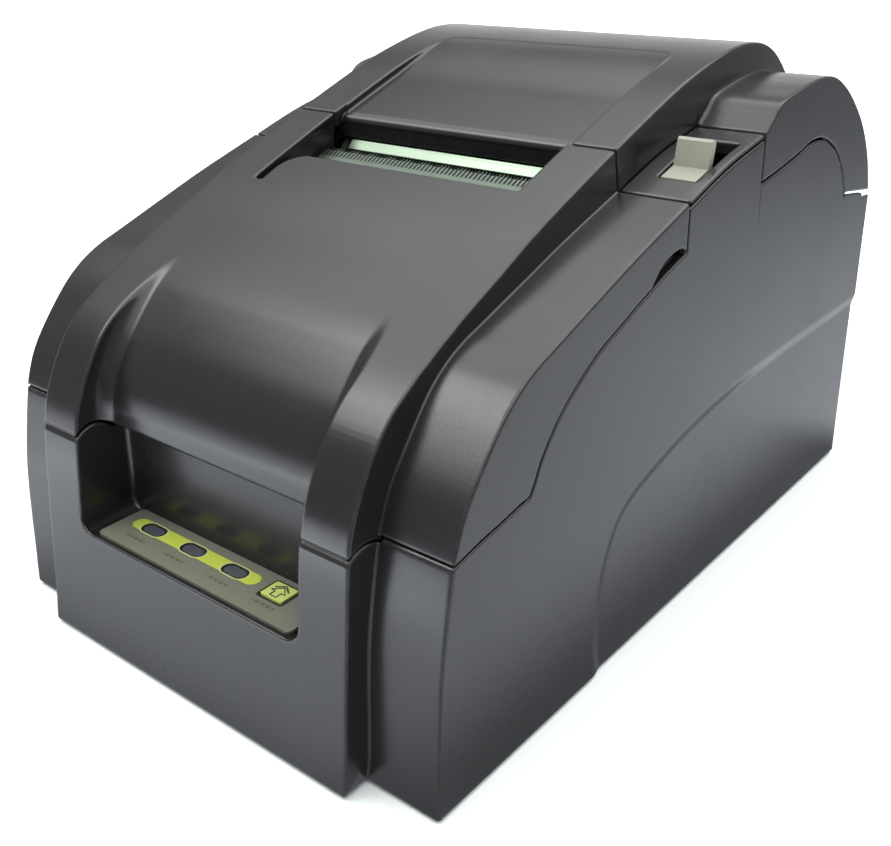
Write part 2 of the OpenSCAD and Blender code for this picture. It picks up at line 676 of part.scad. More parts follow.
// straight-flanked spur gear
module gear_profile(teeth) polygon([for (i = [0:teeth-1], corner = tooth_corners)
  let(a = 360/teeth*(i+corner[0]), r = teeth*tooth_module/2 + corner[1]*tooth_module)
  [r*cos(a), r*sin(a)]]);
module gear(axis, teeth, turn, bore_r) difference() {
  along_x(51.8, 54.8) translate(axis) rotate(turn) gear_profile(teeth);
  rod_x(50, 70, axis, bore_r);
}
module feed_gear() color([0.86,0.84,0.74]) place()
  gear(feed_axis, feed_teeth, transfer_dir, 1.99);
module transfer_gear() color([0.86,0.84,0.74]) place()
  gear(transfer_axis, transfer_teeth, transfer_dir+186, 1.55);
module motor_pinion() color([0.75,0.68,0.42]) place()
  gear(motor_axis, pinion_teeth, motor_dir+190, 1.05);
module feed_motor() color([0.45,0.46,0.48]) place() union() {
  rod_x(56.4, 73, motor_axis, 12);
  // mounting flange with two ears
  along_x(flange_x, 56.5) difference() {
    union() {
      disc(motor_axis, 12);
      for (ear = motor_ears) translate(ear) circle(r=3.2, $fn=32);
    }
    for (ear = motor_ears) translate(ear) circle(r=1.3, $fn=32);
  }
  rod_x(52, 56, motor_axis, 1);
}

// ---------- top of the paper path ----------
tear_half = 41.2;
tooth_pitch = 2*tear_half/tear_teeth;
module tear_bar() color([0.55,0.56,0.58]) place() union() {
  // sloped steel strip on a folded foot
  along_x(-41.4, 41.4)
    polygon([[100.4,119.6],[101.6,119.6],[101.9,121.4],[107.2,124.4],[106.8,125.2],[100.4,122]]);
  along_x(-mech_half, mech_half)
    polygon([[100.4,117.4],[107.6,117.4],[107.6,118.6],[101.6,118.6],[101.6,119.7],[100.4,119.7]]);
  for (i = [0:tear_teeth-1])
    translate([-tear_half+tooth_pitch*i+0.06, 106.6, 124.2]) rotate([24,0,0]) linear_extrude(0.7)
      polygon([[0,0],[tooth_pitch-0.12,0],[tooth_pitch/2-0.06,2.2]]);
}
module guide_plate() color([0.86,0.88,0.86]) place() along_x(-38.4, 38.4)
  polygon([[113.6,121.4],[118.6,121.4],[118.6,122.2],[114.4,122.2],[114.4,124.2],
    [116.5,126.3],[118.9,126.3],[118.9,127.1],[116.2,127.1],[113.6,124.6]]);
module platen_bar() color([0.60,0.61,0.63]) place() box([-41,41], [110.4,116.4], [94,105.6]);
module cover_bracket() color([0.14,0.14,0.15]) place() difference() {
  union() {
    // two hanging cheeks and the cross webs
    both_sides() along_x(41.2, 43.4)
      polygon([[112.2,94],[119.4,94],[121.6,106],[122.4,127.2],[119,127.2],[114,121.4],
        [112.2,118.6]]);
    box([-43.4,43.4], [116.6,119.2], [94,106]);
    box([-43.4,43.4], [119.6,122.2], [108,127.2]);
    box([-47,47], [119.6,128], [125.4,127.2]);
    box([-41.3,41.3], [114.6,119.8], [119.6,121.4]);
  }
  both_sides() rod_x(40, 45, pinch_axis, 1.55);
}
module pinch_shaft() color([0.78,0.79,0.81]) place() rod_x(-43, 43, pinch_axis, 1.5);
module pinch_rollers() color([0.14,0.14,0.15]) place() roller_row(pinch_axis, 4.1, 1.55);

// ---------- electronics ----------
// interface socket height and its screw positions
socket_z = 21;
jack_xs = [-23.5, 23.5];
// power jack axis along y, (x, z)
power_at = [-35, 20];
// power rocker axis along z, (x, y)
rocker_at = [-half_w+4.6, 38];

module main_board() color([0.08,0.32,0.18]) place() difference() {
  box([-60,60], [144,238], [board_z,board_top]);
  at_four(board_spots) rod_z(8, 12, 1.6);
}
module board_chips() color([0.1,0.1,0.11]) place() union() {
  box([-30,-8], [170,192], [board_top,13]);
  box([8,26], [168,180], [board_top,13]);
  box([8,22], [186,192], [board_top,14]);
  for (i = [0:3]) rod_z(board_top, 24, 5, [-50+i*2, 178+i*13]);
  box([38,56], [160,190], [board_top,20]);
  box([-20,20], [147,153], [board_top,18]);
}
module rear_plate() color([0.62,0.63,0.65]) place() difference() {
  box([-49,49], [243.9,245.3], [7,45]);
  // socket opening with its two screw holes
  box([-20.4,20.4], [240,250], [socket_z-5.8,socket_z+5.8]);
  for (x = jack_xs) rod_y(240, 250, [x,socket_z], 1.75);
  box([28,42], [240,250], [10.6,26]);
  rod_y(240, 250, power_at, 6.2);
}
module interface_socket() color([0.70,0.71,0.73]) place() difference() {
  union() {
    box([-20,20], [243,247.4], [socket_z-5.4,socket_z+5.4]);
    box([-27,27], [241.8,243.4], [13,29]);
    box([-24,24], [226,242], [10.8,28]);
  }
  box([-18.6,18.6], [243.6,250], [socket_z-4,socket_z+4]);
  for (x = jack_xs) rod_y(234, 250, [x,socket_z], 1.35);
}
module jack_screws() color([0.75,0.76,0.78]) place() for (x = jack_xs) difference() {
  union() {
    translate([x, 245.35, socket_z]) rotate([-90,0,0]) cylinder(r=2.9, h=2.35, $fn=6);
    rod_y(236, 245.5, [x,socket_z], 1.3);
  }
  rod_y(241, 250, [x,socket_z], 1.1);
}
module drawer_jack() color([0.11,0.11,0.12]) place() difference() {
  box([28.4,41.6], [228,246.6], [11,25.6]);
  box([30,40], [236,250], [14,22]);
  box([32.5,37.5], [236,250], [12.6,14.2]);
}
module power_jack() color([0.11,0.11,0.12]) place() difference() {
  union() {
    rod_y(234, 246.4, power_at, 6);
    box([-41,-29], [228,243], [10.8,26]);
  }
  rod_y(236, 250, power_at, 4.6);
}
module switch_body() color([0.13,0.13,0.14]) place() difference() {
  union() {
    box([-half_w+0.2,-half_w+wall+10], [28.6,47.4], [22.6,34.4]);
    box([-half_w+wall+0.2,-half_w+wall+1.8], [26.6,49.4], [21,36]);
  }
  box([-half_w-1,-half_w+7], [30.4,45.6], [24.4,32.6]);
  rod_z(20, 40, 1.05, rocker_at);
}
module power_rocker() color([0.10,0.10,0.11]) place() difference() {
  union() {
    translate([-half_w,0,24.8]) linear_extrude(7.4)
      polygon([[5.6,31.2],[1.2,31.4],[2.6,38],[0,44.4],[3.4,44.6],[6.2,38]]);
    rod_z(24.8, 32.2, 2.4, rocker_at);
  }
  rod_z(20, 40, 1.1, rocker_at);
}
module rubber_feet() color([0.06,0.06,0.06]) place()
  at_four(foot_spots) rod_z(0, base_z+1.5, 6);
module case_screws() color([0.7,0.71,0.73]) place() at_four(case_screw_spots) union() {
  rod_z(base_z+0.5, base_z+2.1, 2.9);
  rod_z(base_z+2, 14, 1.25);
}

main_case();
base_plate();
inner_frame();
front_cover();
roll_cover();
front_hinge_pins();
rear_hinge_pins();
release_lever();
lever_shaft();
lever_spring();
control_panel();
led_lenses();
feed_button();
panel_board();
tear_bar();
guide_plate();
platen_bar();
cover_bracket();
pinch_shaft();
pinch_rollers();
mech_side_left();
mech_side_right();
mech_base();
guide_shaft();
rear_rail();
carriage();
print_head();
ribbon_cassette();
ribbon_band();
ribbon_knob();
carriage_motor();
drive_pulley();
idler_pulley();
drive_belt();
feed_shaft();
feed_rollers();
feed_gear();
transfer_gear();
feed_motor();
motor_pinion();
main_board();
board_chips();
rear_plate();
interface_socket();
jack_screws();
drawer_jack();
power_jack();
switch_body();
power_rocker();
rubber_feet();
case_screws();
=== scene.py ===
# A desktop machine with a front cover, a roll cover and a feed button, built over its CAD pieces.
# Four shells are sampled as signed distances (below zero inside) and meshed.
# Shells are drawn in mm: x across with 0 in the middle and + to the right seen from the front,
# y from the front face (0) to the back, z up. The scene is in metres.
import bpy, json, math
import numpy as np
from functools import reduce
from itertools import product
from mathutils import Matrix, Vector


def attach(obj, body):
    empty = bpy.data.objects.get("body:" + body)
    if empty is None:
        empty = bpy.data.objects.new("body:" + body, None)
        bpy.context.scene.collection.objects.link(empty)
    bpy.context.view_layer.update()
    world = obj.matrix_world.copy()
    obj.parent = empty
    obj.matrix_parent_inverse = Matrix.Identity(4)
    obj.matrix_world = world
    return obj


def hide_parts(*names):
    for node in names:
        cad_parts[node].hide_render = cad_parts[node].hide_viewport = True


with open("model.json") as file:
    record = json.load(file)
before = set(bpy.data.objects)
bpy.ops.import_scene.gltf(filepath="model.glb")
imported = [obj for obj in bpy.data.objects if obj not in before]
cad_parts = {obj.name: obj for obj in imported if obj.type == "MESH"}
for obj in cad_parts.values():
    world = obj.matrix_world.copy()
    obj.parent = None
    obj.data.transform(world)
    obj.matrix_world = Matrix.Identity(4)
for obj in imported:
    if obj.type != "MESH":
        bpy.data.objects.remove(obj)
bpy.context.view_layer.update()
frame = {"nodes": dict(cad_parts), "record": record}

# ------------------------------------------------------------------ sizes (mm)
HALF = 80.0                    # half the body's width
BAND_HALF = 58.0               # half the width of the raised middle band
WALL, SKIN = 2.6, 2.3          # case and cover thickness
FOOT_Z = 0.9                   # underside of the walls
FRONT_HINGE = (11.0, 57.0)     # y, z
REAR_HINGE = (244.6, 101.7)
SLOT_HALF = 42.8               # half the width of the opening between the covers
Y_SHIFT = -124.0               # puts the middle of the depth near the origin
FRONT_SEAM = (1, 0.9)          # beside the band: where its zone ends, where the side zone starts
ROLL_SEAM = (1.2, 1.1)
KNUCKLE_XS, KNUCKLE_WIDE = (33, 43), 4
WINDOW_XS, WINDOW_HALF, WINDOW_Y = (-25.9, -9.3, 7.3), 4.0, (13, 17.2)
BUTTON_X, BUTTON_Y = (19.4, 28), (11.4, 19)
BUTTON_MID_X = sum(BUTTON_X) / 2
TEETH = 68                     # along the tear bar
COARSEN = 1.0


def curve(points, steps=10):
    """Catmull-Rom curve through the points."""
    points = [np.array(point, float) for point in points]
    last, out = len(points) - 1, []
    for i in range(last):
        a, b, c, d = points[max(i - 1, 0)], points[i], points[i + 1], points[min(i + 2, last)]
        for k in range(steps):
            t = k / steps
            out.append(0.5 * ((2 * b) + (c - a) * t + (2 * a - 5 * b + 4 * c - d) * t * t
                              + (3 * b - a - 3 * c + d) * t ** 3))
    out.append(points[-1])
    return [tuple(point) for point in out]


def arc(centre, radius, start, end, steps):
    angles = [math.radians(start + (end - start) * k / steps) for k in range(steps + 1)]
    return [(centre[0] + radius * math.cos(a), centre[1] + radius * math.sin(a)) for a in angles]


def lower(outline, drop):
    return [(y, z - drop) for y, z in outline]


# ------------------------------------------------------------------ side outlines (y, z)
BAND_TOP = curve([
    (0, FOOT_Z), (1, 12), (2, 28), (3.2, 46), (4.8, 63.5), (8.3, 75.5), (16.4, 89), (27, 97.5),
    (45, 107.3), (61, 114.6), (78, 122.3), (100, 130.8), (125, 139.8), (146.6, 147), (163, 151.2),
    (178, 153.9), (190, 154.5), (202, 153), (213, 148), (225, 137.5), (236, 123.5), (244, 110),
    (248, 100)])
SHOULDER_TOP = curve([
    (8.2, FOOT_Z), (8.6, 13), (9.8, 40), (12.8, 60), (15.6, 71), (20.2, 80), (30, 92),
    (37.5, 98.4), (45, 102.4), (53, 105.2), (69.7, 111), (87.7, 117.1), (112.4, 124.6),
    (128.4, 129.4), (140, 132.2), (156, 135)])
REAR_TOP = curve([
    (155.9, 134.8), (160.8, 138.4), (166, 142), (176.8, 143.9), (186, 145), (196, 145.3),
    (206, 143.8), (217.2, 138.5), (228, 130.6), (236, 122.6), (243, 112), (247.6, 100)])
BAND = BAND_TOP + [(248, FOOT_Z)]
SHOULDER = SHOULDER_TOP + [(156, FOOT_Z)]
WHOLE = SHOULDER_TOP[:-1] + REAR_TOP + [(248, 100), (248, FOOT_Z)]
REAR = [(150, 120), (155.9, 120)] + REAR_TOP + [(248, 100), (248, FOOT_Z), (150, FOOT_Z)]
SCOOP = [(-20, 60)] + curve([
    (15.4, 60), (15.4, 66), (15.8, 72.2), (17.9, 79.4), (22.5, 87.2), (28.1, 94.2), (33.2, 99.6),
    (38.2, 103.7), (44, 108.4)]) + [(40, 125), (-20, 125)]

# Zones that part the covers from the case. Cover and case share the lower side edge.
SIDE_LOW = (curve([(13.9, 66.2), (23.3, 68.1), (31, 69.2), (38.5, 70.5), (42.4, 70.9)], 5)
            + curve([(44.4, 73.9), (47.6, 79.6), (54.1, 86.9), (62.3, 92.9), (70.9, 97.7),
                     (79.8, 101), (89.1, 104.5), (95.2, 106.5)], 5))
COVER_EDGE = curve([(96.6, 108.2), (100.5, 111.4), (105, 112.9), (109.2, 113.3), (111.6, 112.6),
                    (112.6, 111.4)], 5)
CASE_EDGE = curve([(98.6, 107.8), (103, 109.2), (108, 110.6), (112.6, 111.9)], 5)
HINGE_ROUND = 8.85


def front_side_zone(edge):
    return ([(-20, 64)] + arc(FRONT_HINGE, HINGE_ROUND, 130, 75, 12) + SIDE_LOW + edge
            + [(112.6, 180), (-20, 180)])


FRONT_SIDE, CASE_SIDE = front_side_zone(COVER_EDGE), front_side_zone(CASE_EDGE)
FRONT_BAND = ([(-20, 64)] + arc(FRONT_HINGE, HINGE_ROUND, 140, 44, 24)
              + [(30, 63), (60, 75), (112.6, 100), (112.6, 180), (-20, 180)])
REAR_EDGE = curve([(156.4, 121.4), (168, 122.9), (181.8, 125.2), (190.2, 127), (198.1, 126.8),
                   (205.1, 124.6), (213.1, 120), (219.7, 112.7), (224, 103.6)], 6)
ROLL_SIDE = REAR_EDGE + [(226, 104.1), (262, 98.4), (262, 180), (156.4, 180)]
ROLL_BAND = ([(113.4, 122.6), (156.2, 132.6), (156.4, 121.4)] + REAR_EDGE
             + [(227, 101.2), (262, 101.2), (262, 180), (113.4, 180)])
INSET = curve([(80, -5), (77.4, 6), (76.5, 13), (77, 25), (80.4, 37.5), (88.5, 47.5), (106, 53.4),
               (129, 57.7), (161, 60.5), (199, 61.2), (225, 61), (262, 61)], 8) + [(262, -5)]


# ------------------------------------------------------------------ signed distances
def meet(*shapes, edge=0.0):
    """Common part of the shapes; edge is the radius of the corners."""
    def rounded(a, b):
        u, v = np.maximum(a + edge, 0), np.maximum(b + edge, 0)
        return np.minimum(np.maximum(a, b), -edge) + np.sqrt(u * u + v * v)
    return reduce(rounded if edge > 0 else np.maximum, shapes)


def join(*shapes, edge=0.0):
    return -meet(*(-shape for shape in shapes), edge=edge)


def carve(solid, hole, edge=0.0):
    return meet(solid, -hole, edge=edge)


def soft_max(a, b, width):
    near = np.maximum(width - np.abs(a - b), 0) / width
    return np.maximum(a, b) + near * near * width * 0.25


def smoothstep(t):
    t = np.clip(t, 0, 1)
    return t * t * (3 - 2 * t)


def rounded_rect(u, v, u_span, v_span, radius):
    def past(value, span):
        return np.abs(value - (span[0] + span[1]) / 2) - ((span[1] - span[0]) / 2 - radius)
    past_u, past_v = past(u, u_span), past(v, v_span)
    outside = np.sqrt(np.maximum(past_u, 0) ** 2 + np.maximum(past_v, 0) ** 2)
    return np.minimum(np.maximum(past_u, past_v), 0) + outside - radius


REACH = 2.5    # a slab further off in x than this leaves a section unchanged


def add(solid, shape, x, span, edge=0.0):
    """Adds a slab of the outline over an x span."""
    beside = max(span[0] - x, x - span[1])
    return solid if beside > REACH else join(solid, meet(shape, beside), edge=edge)


def cut(solid, shape, x, span, edge=0.0, hole_edge=0.0):
    beside = max(span[0] - x, x - span[1])
    if beside > REACH:
        return solid
    return carve(solid, meet(shape, np.float32(beside), edge=hole_edge), edge=edge)


class Section:
    """Sample grid in the y-z plane, and plain outlines on it."""

    def __init__(self, y_span, z_span, step):
        self.step = step * COARSEN
        self.ys, self.zs = (np.arange(low, high + self.step, self.step).astype(np.float32)
                            for low, high in (y_span, z_span))
        self.y, self.z = self.ys[:, None], self.zs[None, :]

    def poly(self, outline):
        points = np.asarray(outline, np.float64)
        y, z = np.meshgrid(self.ys, self.zs, indexing="ij")
        nearest = np.full(y.shape, 1e12)
        inside = np.zeros(y.shape, bool)
        for (ay, az), (by, bz) in zip(points, np.roll(points, -1, 0)):
            dy, dz = by - ay, bz - az
            length2 = dy * dy + dz * dz
            if length2 < 1e-12:
                continue
            py, pz = y - ay, z - az
            t = np.clip((py * dy + pz * dz) / length2, 0, 1)
            nearest = np.minimum(nearest, (py - t * dy) ** 2 + (pz - t * dz) ** 2)
            if dz != 0:
                inside ^= ((az > z) != (bz > z)) & (y < dy * (z - az) / dz + ay)
        dist = np.sqrt(nearest)
        return np.where(inside, -dist, dist).astype(np.float32)

    def box(self, y0, y1, z0, z1):
        return meet(y0 - self.y, self.y - y1, z0 - self.z, self.z - z1).astype(np.float32)

    def disc(self, centre, radius):
        dist = np.sqrt((self.y - centre[0]) ** 2 + (self.z - centre[1]) ** 2)
        return (dist - radius).astype(np.float32)

    def post(self, beside, y, radius, z0, z1):
        """Upright cylinder whose axis is `beside` away in x."""
        around = np.sqrt(beside ** 2 + (self.y - y) ** 2) - radius
        return meet(around, z0 - self.z, self.z - z1)


# ------------------------------------------------------------------ meshing
X_LIMIT, FINE_REACH, COARSE_STEP = 82, 1.8, 4.0


def stations(keys, fine):
    """x places of the sections: close together round each key, coarse between."""
    reach = int(round(FINE_REACH / fine))
    near = {round(key + i * fine, 4) for key in keys for i in range(-reach, reach + 1)}
    near = sorted(x for x in near if abs(x) <= X_LIMIT)
    out = [near[0]]
    for x in near[1:]:
        gap = x - out[-1]
        if gap < fine * 0.6:
            continue
        if gap > COARSE_STEP:
            count = int(math.ceil(gap / COARSE_STEP))
            out += [out[-1] + gap * i / count for i in range(1, count)]
        out.append(x)
    return np.array(out, np.float32)


def sample(field, axes, points):
    """Trilinear value of the field at the points."""
    def locate(axis, values):
        i = np.clip(np.searchsorted(axis, values) - 1, 0, len(axis) - 2)
        return i, np.clip((values - axis[i]) / (axis[i + 1] - axis[i]), 0, 1)
    cells, parts = zip(*(locate(axis, points[:, k]) for k, axis in enumerate(axes)))
    total = 0
    for corner in product((0, 1), repeat=3):
        wx, wy, wz = (part if side else 1 - part for side, part in zip(corner, parts))
        at = tuple(i + side for i, side in zip(cells, corner))
        total = total + wx * wy * wz * field[at]
    return total


def cell_points(inside, field, axes):
    """One point in each crossed cell, the mean of its edge crossings, and the cells' numbers."""
    shape = tuple(size - 1 for size in field.shape)
    corners = list(product((0, 1), repeat=3))
    count = np.zeros(shape, np.int8)
    for corner in corners:
        count += inside[tuple(slice(c, c + size) for c, size in zip(corner, shape))]
    cells = np.argwhere((count > 0) & (count < 8))
    number = np.full(shape, -1, np.int32)
    number[tuple(cells.T)] = np.arange(len(cells))
    value, place = {}, {}
    for corner in corners:
        at = tuple((cells + corner).T)
        value[corner] = field[at].astype(np.float64)
        place[corner] = np.stack([axis[i] for axis, i in zip(axes, at)], 1).astype(np.float64)
    total, crossings = np.zeros((len(cells), 3)), np.zeros(len(cells))
    for near in corners:
        for k in range(3):
            if near[k] == 0:
                far = tuple(1 if i == k else near[i] for i in range(3))
                hit = (value[near] < 0) != (value[far] < 0)
                t = value[near][hit] / (value[near][hit] - value[far][hit])
                total[hit] += place[near][hit] + t[:, None] * (place[far][hit] - place[near][hit])
                crossings[hit] += 1
    return total / crossings[:, None], number


def surface_nets(axes, field):
    """Vertices, quads, normals and convexity of the zero surface."""
    inside = field < 0
    verts, number = cell_points(inside, field, axes)
    quads = []
    for axis in range(3):
        step_a, step_b = np.eye(3, dtype=int)[[(axis + 1) % 3, (axis + 2) % 3]]
        start, end = [slice(1, -1)] * 3, [slice(1, -1)] * 3
        start[axis], end[axis] = slice(None, -1), slice(1, None)
        cells = np.argwhere(inside[tuple(start)] != inside[tuple(end)])
        keep = inside[tuple((cells + step_a + step_b).T)]
        quad = np.stack([number[tuple((cells + step).T)]
                         for step in (0, step_a, step_a + step_b, step_b)], 1)
        quads.append(np.where(keep[:, None], quad, quad[:, ::-1]))

    spacing = float(axes[1][1] - axes[1][0])
    offsets = np.diag([0.3, spacing * 0.6, spacing * 0.6])
    slope = np.stack([(sample(field, axes, verts + off) - sample(field, axes, verts - off))
                      / (2 * off[k]) for k, off in enumerate(offsets)], 1)
    # one limited step along the slope puts the vertices on the surface
    steepness = np.maximum((slope * slope).sum(1), 0.25)
    step = np.clip(sample(field, axes, verts) / steepness, -0.3, 0.3)
    verts = verts - slope * step[:, None]
    normals = slope / np.sqrt(np.maximum((slope * slope).sum(1), 1e-9))[:, None]
    # convexity: how far the surface falls away on either side of the vertex
    width, convexity = 0.9, 0
    here = sample(field, axes, verts)
    for off in np.eye(3) * width:
        convexity = (convexity + sample(field, axes, verts + off)
                     + sample(field, axes, verts - off) - 2 * here)
    return verts, np.concatenate(quads), normals, convexity / width


def mesh_object(name, verts, quads, normals, convexity):
    mesh = bpy.data.meshes.new(name)
    places = (verts + (0, Y_SHIFT, 0)) * 0.001
    mesh.vertices.add(len(places))
    mesh.vertices.foreach_set("co", places.astype(np.float32).ravel())
    quads = np.ascontiguousarray(quads, np.int32)
    mesh.loops.add(quads.size)
    mesh.loops.foreach_set("vertex_index", quads.ravel())
    mesh.polygons.add(len(quads))
    mesh.polygons.foreach_set("loop_start", np.arange(0, quads.size, 4, dtype=np.int32))
    mesh.polygons.foreach_set("use_smooth", np.ones(len(quads), bool))
    mesh.update(calc_edges=True)
    mesh.validate()
    edge = mesh.attributes.new("edge", "FLOAT", "POINT")
    edge.data.foreach_set("value", np.clip(convexity, -2, 2).astype(np.float32))
    mesh.normals_split_custom_set_from_vertices(normals.astype(np.float32))
    obj = bpy.data.objects.new(name, mesh)
    bpy.context.scene.collection.objects.link(obj)
    return obj


def build(name, grid, section_at, mirrored, single=()):
    """Meshes section_at(x); mirrored and single are the x places that need fine steps."""
    keys = [side * x for side in (1, -1) for x in mirrored] + list(single)
    xs = stations(keys, grid.step)
    field = np.empty((len(xs), len(grid.ys), len(grid.zs)), np.float32)
    for i, x in enumerate(xs):
        field[i] = section_at(float(x))
    return mesh_object(name, *surface_nets((xs, grid.ys, grid.zs), field))


# ------------------------------------------------------------------ shells
def outer_body(across, band, whole, side_edge=0.7, inner_edge=0.5, inset=0.0):
    flare = np.clip(-band - 0.8, 0, 11) * 0.12
    middle = meet(band, across - BAND_HALF - flare, edge=0.7)
    sides = meet(whole, across - HALF + inset, edge=side_edge)
    return join(middle, sides, edge=inner_edge)


def inner_body(across, band, whole, wall):
    return join(meet(whole + wall, across - HALF + wall),
                meet(band + wall, across - BAND_HALF + wall))


def cover_zone(across, band_zone, side_zone, seam):
    return join(meet(band_zone, across - BAND_HALF - seam[0]),
                meet(side_zone, BAND_HALF + seam[1] - across))


def make_front_cover():
    grid = Section((-1.5, 114.5), (52.5, 137.5), step=0.4)
    band, whole, band_zone, side_zone, scoop = map(
        grid.poly, (BAND, WHOLE, FRONT_BAND, FRONT_SIDE, SCOOP))
    blend = smoothstep((grid.z - 94) / 8)
    slot_wall = grid.poly([(76.8 - SKIN, 112), (95, 120.4), (112.7, 120.4), (112.7, 140),
                           (76.8 - SKIN, 140)])
    hinge_y, hinge_z = FRONT_HINGE
    arm = grid.poly([(hinge_y - 0.5, hinge_z + 3.1), (hinge_y + 2.2, hinge_z - 2.3), (26.5, 62.2),
                     (29.5, 66), (32, 99), (22.6, 92.6), (22.9, 67.2)])
    arm = carve(join(arm, grid.disc(FRONT_HINGE, 3.2), edge=0.5), grid.disc(FRONT_HINGE, 1.55))
    arm_span = (48.8, 53.2)
    above = 112 - grid.z

    def section_at(x):
        across = abs(x)
        zone = cover_zone(across, band_zone, side_zone, FRONT_SEAM)
        solid = meet(outer_body(across, band, whole), zone, edge=0.22)
        if across < SLOT_HALF + 6:
            # the scoop's rim is crisp low down and soft higher up
            keep = -meet(scoop, across - SLOT_HALF, edge=5.0)
            solid = (meet(solid, keep, edge=0.7) * (1 - blend)
                     + soft_max(solid, keep, 1.3) * blend)
        hollow = inner_body(across, band, whole, SKIN)
        hollow = carve(hollow, meet(scoop - SKIN, across - SLOT_HALF - SKIN))
        beside = max(SLOT_HALF - 0.1 - across, across - SLOT_HALF - SKIN)
        hollow = carve(hollow, meet(slot_wall, beside))
        solid = carve(solid, hollow, edge=0.3)
        if across < SLOT_HALF + 2:
            tongue = join(rounded_rect(x, grid.y, (-39.6, 60), (60, 90.4), 8),
                          meet(50 - grid.y, grid.y - 80, -39.6 - x))
            slot = rounded_rect(x, grid.y, (-SLOT_HALF + 0.1, SLOT_HALF - 0.1), (77, 130), 1.4)
            solid = carve(solid, meet(above, carve(slot, tongue, edge=0.6)), edge=0.4)
        return add(solid, arm, across, arm_span)

    return build("front_cover_shell", grid, section_at, mirrored=(
        33.5, 35.2, 37, 39.6, SLOT_HALF - 3, 41, SLOT_HALF, SLOT_HALF + SKIN, *arm_span,
        BAND_HALF - SKIN, BAND_HALF, BAND_HALF + 1.2, HALF - SKIN, HALF))


def make_roll_cover():
    grid = Section((111.8, 250), (93.5, 157), step=0.45)
    band, whole, rear, band_zone, side_zone = map(
        grid.poly, (BAND, WHOLE, REAR, ROLL_BAND, ROLL_SIDE))
    # the panel is deepest at the front and runs out towards the back
    depth = 2.46 * (1 - smoothstep((grid.y - 141) / 30)) - 0.06
    above_panel = -depth - band
    front_gap = grid.box(116.3, 118.3, 127.3, 150)
    lip = join(grid.disc((119, 132.32), 2.7), grid.box(119, 129, 127.3, 157),
               grid.box(116.3, 120.8, 127.3, 132.3))
    front_slot = carve(grid.box(90, 118.15, 90, 180), lip)
    hinge_y, hinge_z = REAR_HINGE
    knuckle = join(grid.disc(REAR_HINGE, 2.9),
                   grid.poly([(hinge_y - 2.9, hinge_z), (hinge_y + 2.9, hinge_z),
                              (hinge_y + 2.3, 106), (hinge_y - 3, 112), (hinge_y - 7.5, 114)]),
                   edge=0.4)
    rib = meet(band + 1, grid.box(117, 150, 127.3, 157))
    tab = grid.poly([(119, 111), (125.4, 111), (125.4, 116), (130, 130), (117, 126.4)])
    over_deck = grid.box(90, 156.4, 90, 180)
    notch = grid.box(238, 252, 95, 105.4)
    behind_front = grid.box(113.4, 260, 90, 170)
    band_room = grid.box(110, 244, 60, 180)
    rear_room = grid.box(156.4 + SKIN, 260, 60, 180)
    pin = grid.disc(REAR_HINGE, 1.55)
    play = 0.4

    def panel(x, grow=0):
        return rounded_rect(x, grid.y, (-42 - grow, 44 + grow), (60 - grow, 172 + grow), 6 + grow)

    def section_at(x):
        across = abs(x)
        zone = cover_zone(across, band_zone, side_zone, ROLL_SEAM)
        solid = meet(outer_body(across, band, whole, inner_edge=1.2), zone, edge=0.35)
        solid = meet(solid, behind_front, edge=0.4)
        if -46 < x < 48:
            solid = carve(solid, meet(above_panel, panel(x), edge=1.0), edge=0.5)
        solid = carve(solid, meet(rear + SKIN, rear_room, across - HALF + SKIN))
        hollow = meet(band + SKIN, band_room, across - BAND_HALF + SKIN)
        hollow = carve(hollow, meet(-depth - SKIN - band, panel(x, SKIN)))
        hollow = carve(hollow, meet(front_gap, across - SLOT_HALF))
        solid = carve(solid, hollow, edge=0.3)
        # band walls stop above the decks
        solid = carve(solid, meet(over_deck, (BAND_HALF + 1.15) - across), edge=0.3)
        if across < SLOT_HALF + 2:
            solid = carve(solid, meet(front_slot, across - SLOT_HALF + 0.1), edge=0.4)
        for start in KNUCKLE_XS:
            solid = cut(solid, notch, across, (start - play, start + KNUCKLE_WIDE + play))
        solid = add(solid, knuckle, across, (37.5, 42.5))
        solid = add(solid, rib, across, (44, 46.2))
        solid = add(solid, tab, across, (BAND_HALF - SKIN, BAND_HALF - 0.01))
        return cut(solid, pin, across, (30, 50))

    return build("roll_cover_shell", grid, section_at, mirrored=(
        33, 36, 37.5, 38.5, 40.2, SLOT_HALF, 44.3, 45.8, 47.2, BAND_HALF - SKIN, BAND_HALF,
        BAND_HALF + 1.2, HALF - SKIN, HALF))


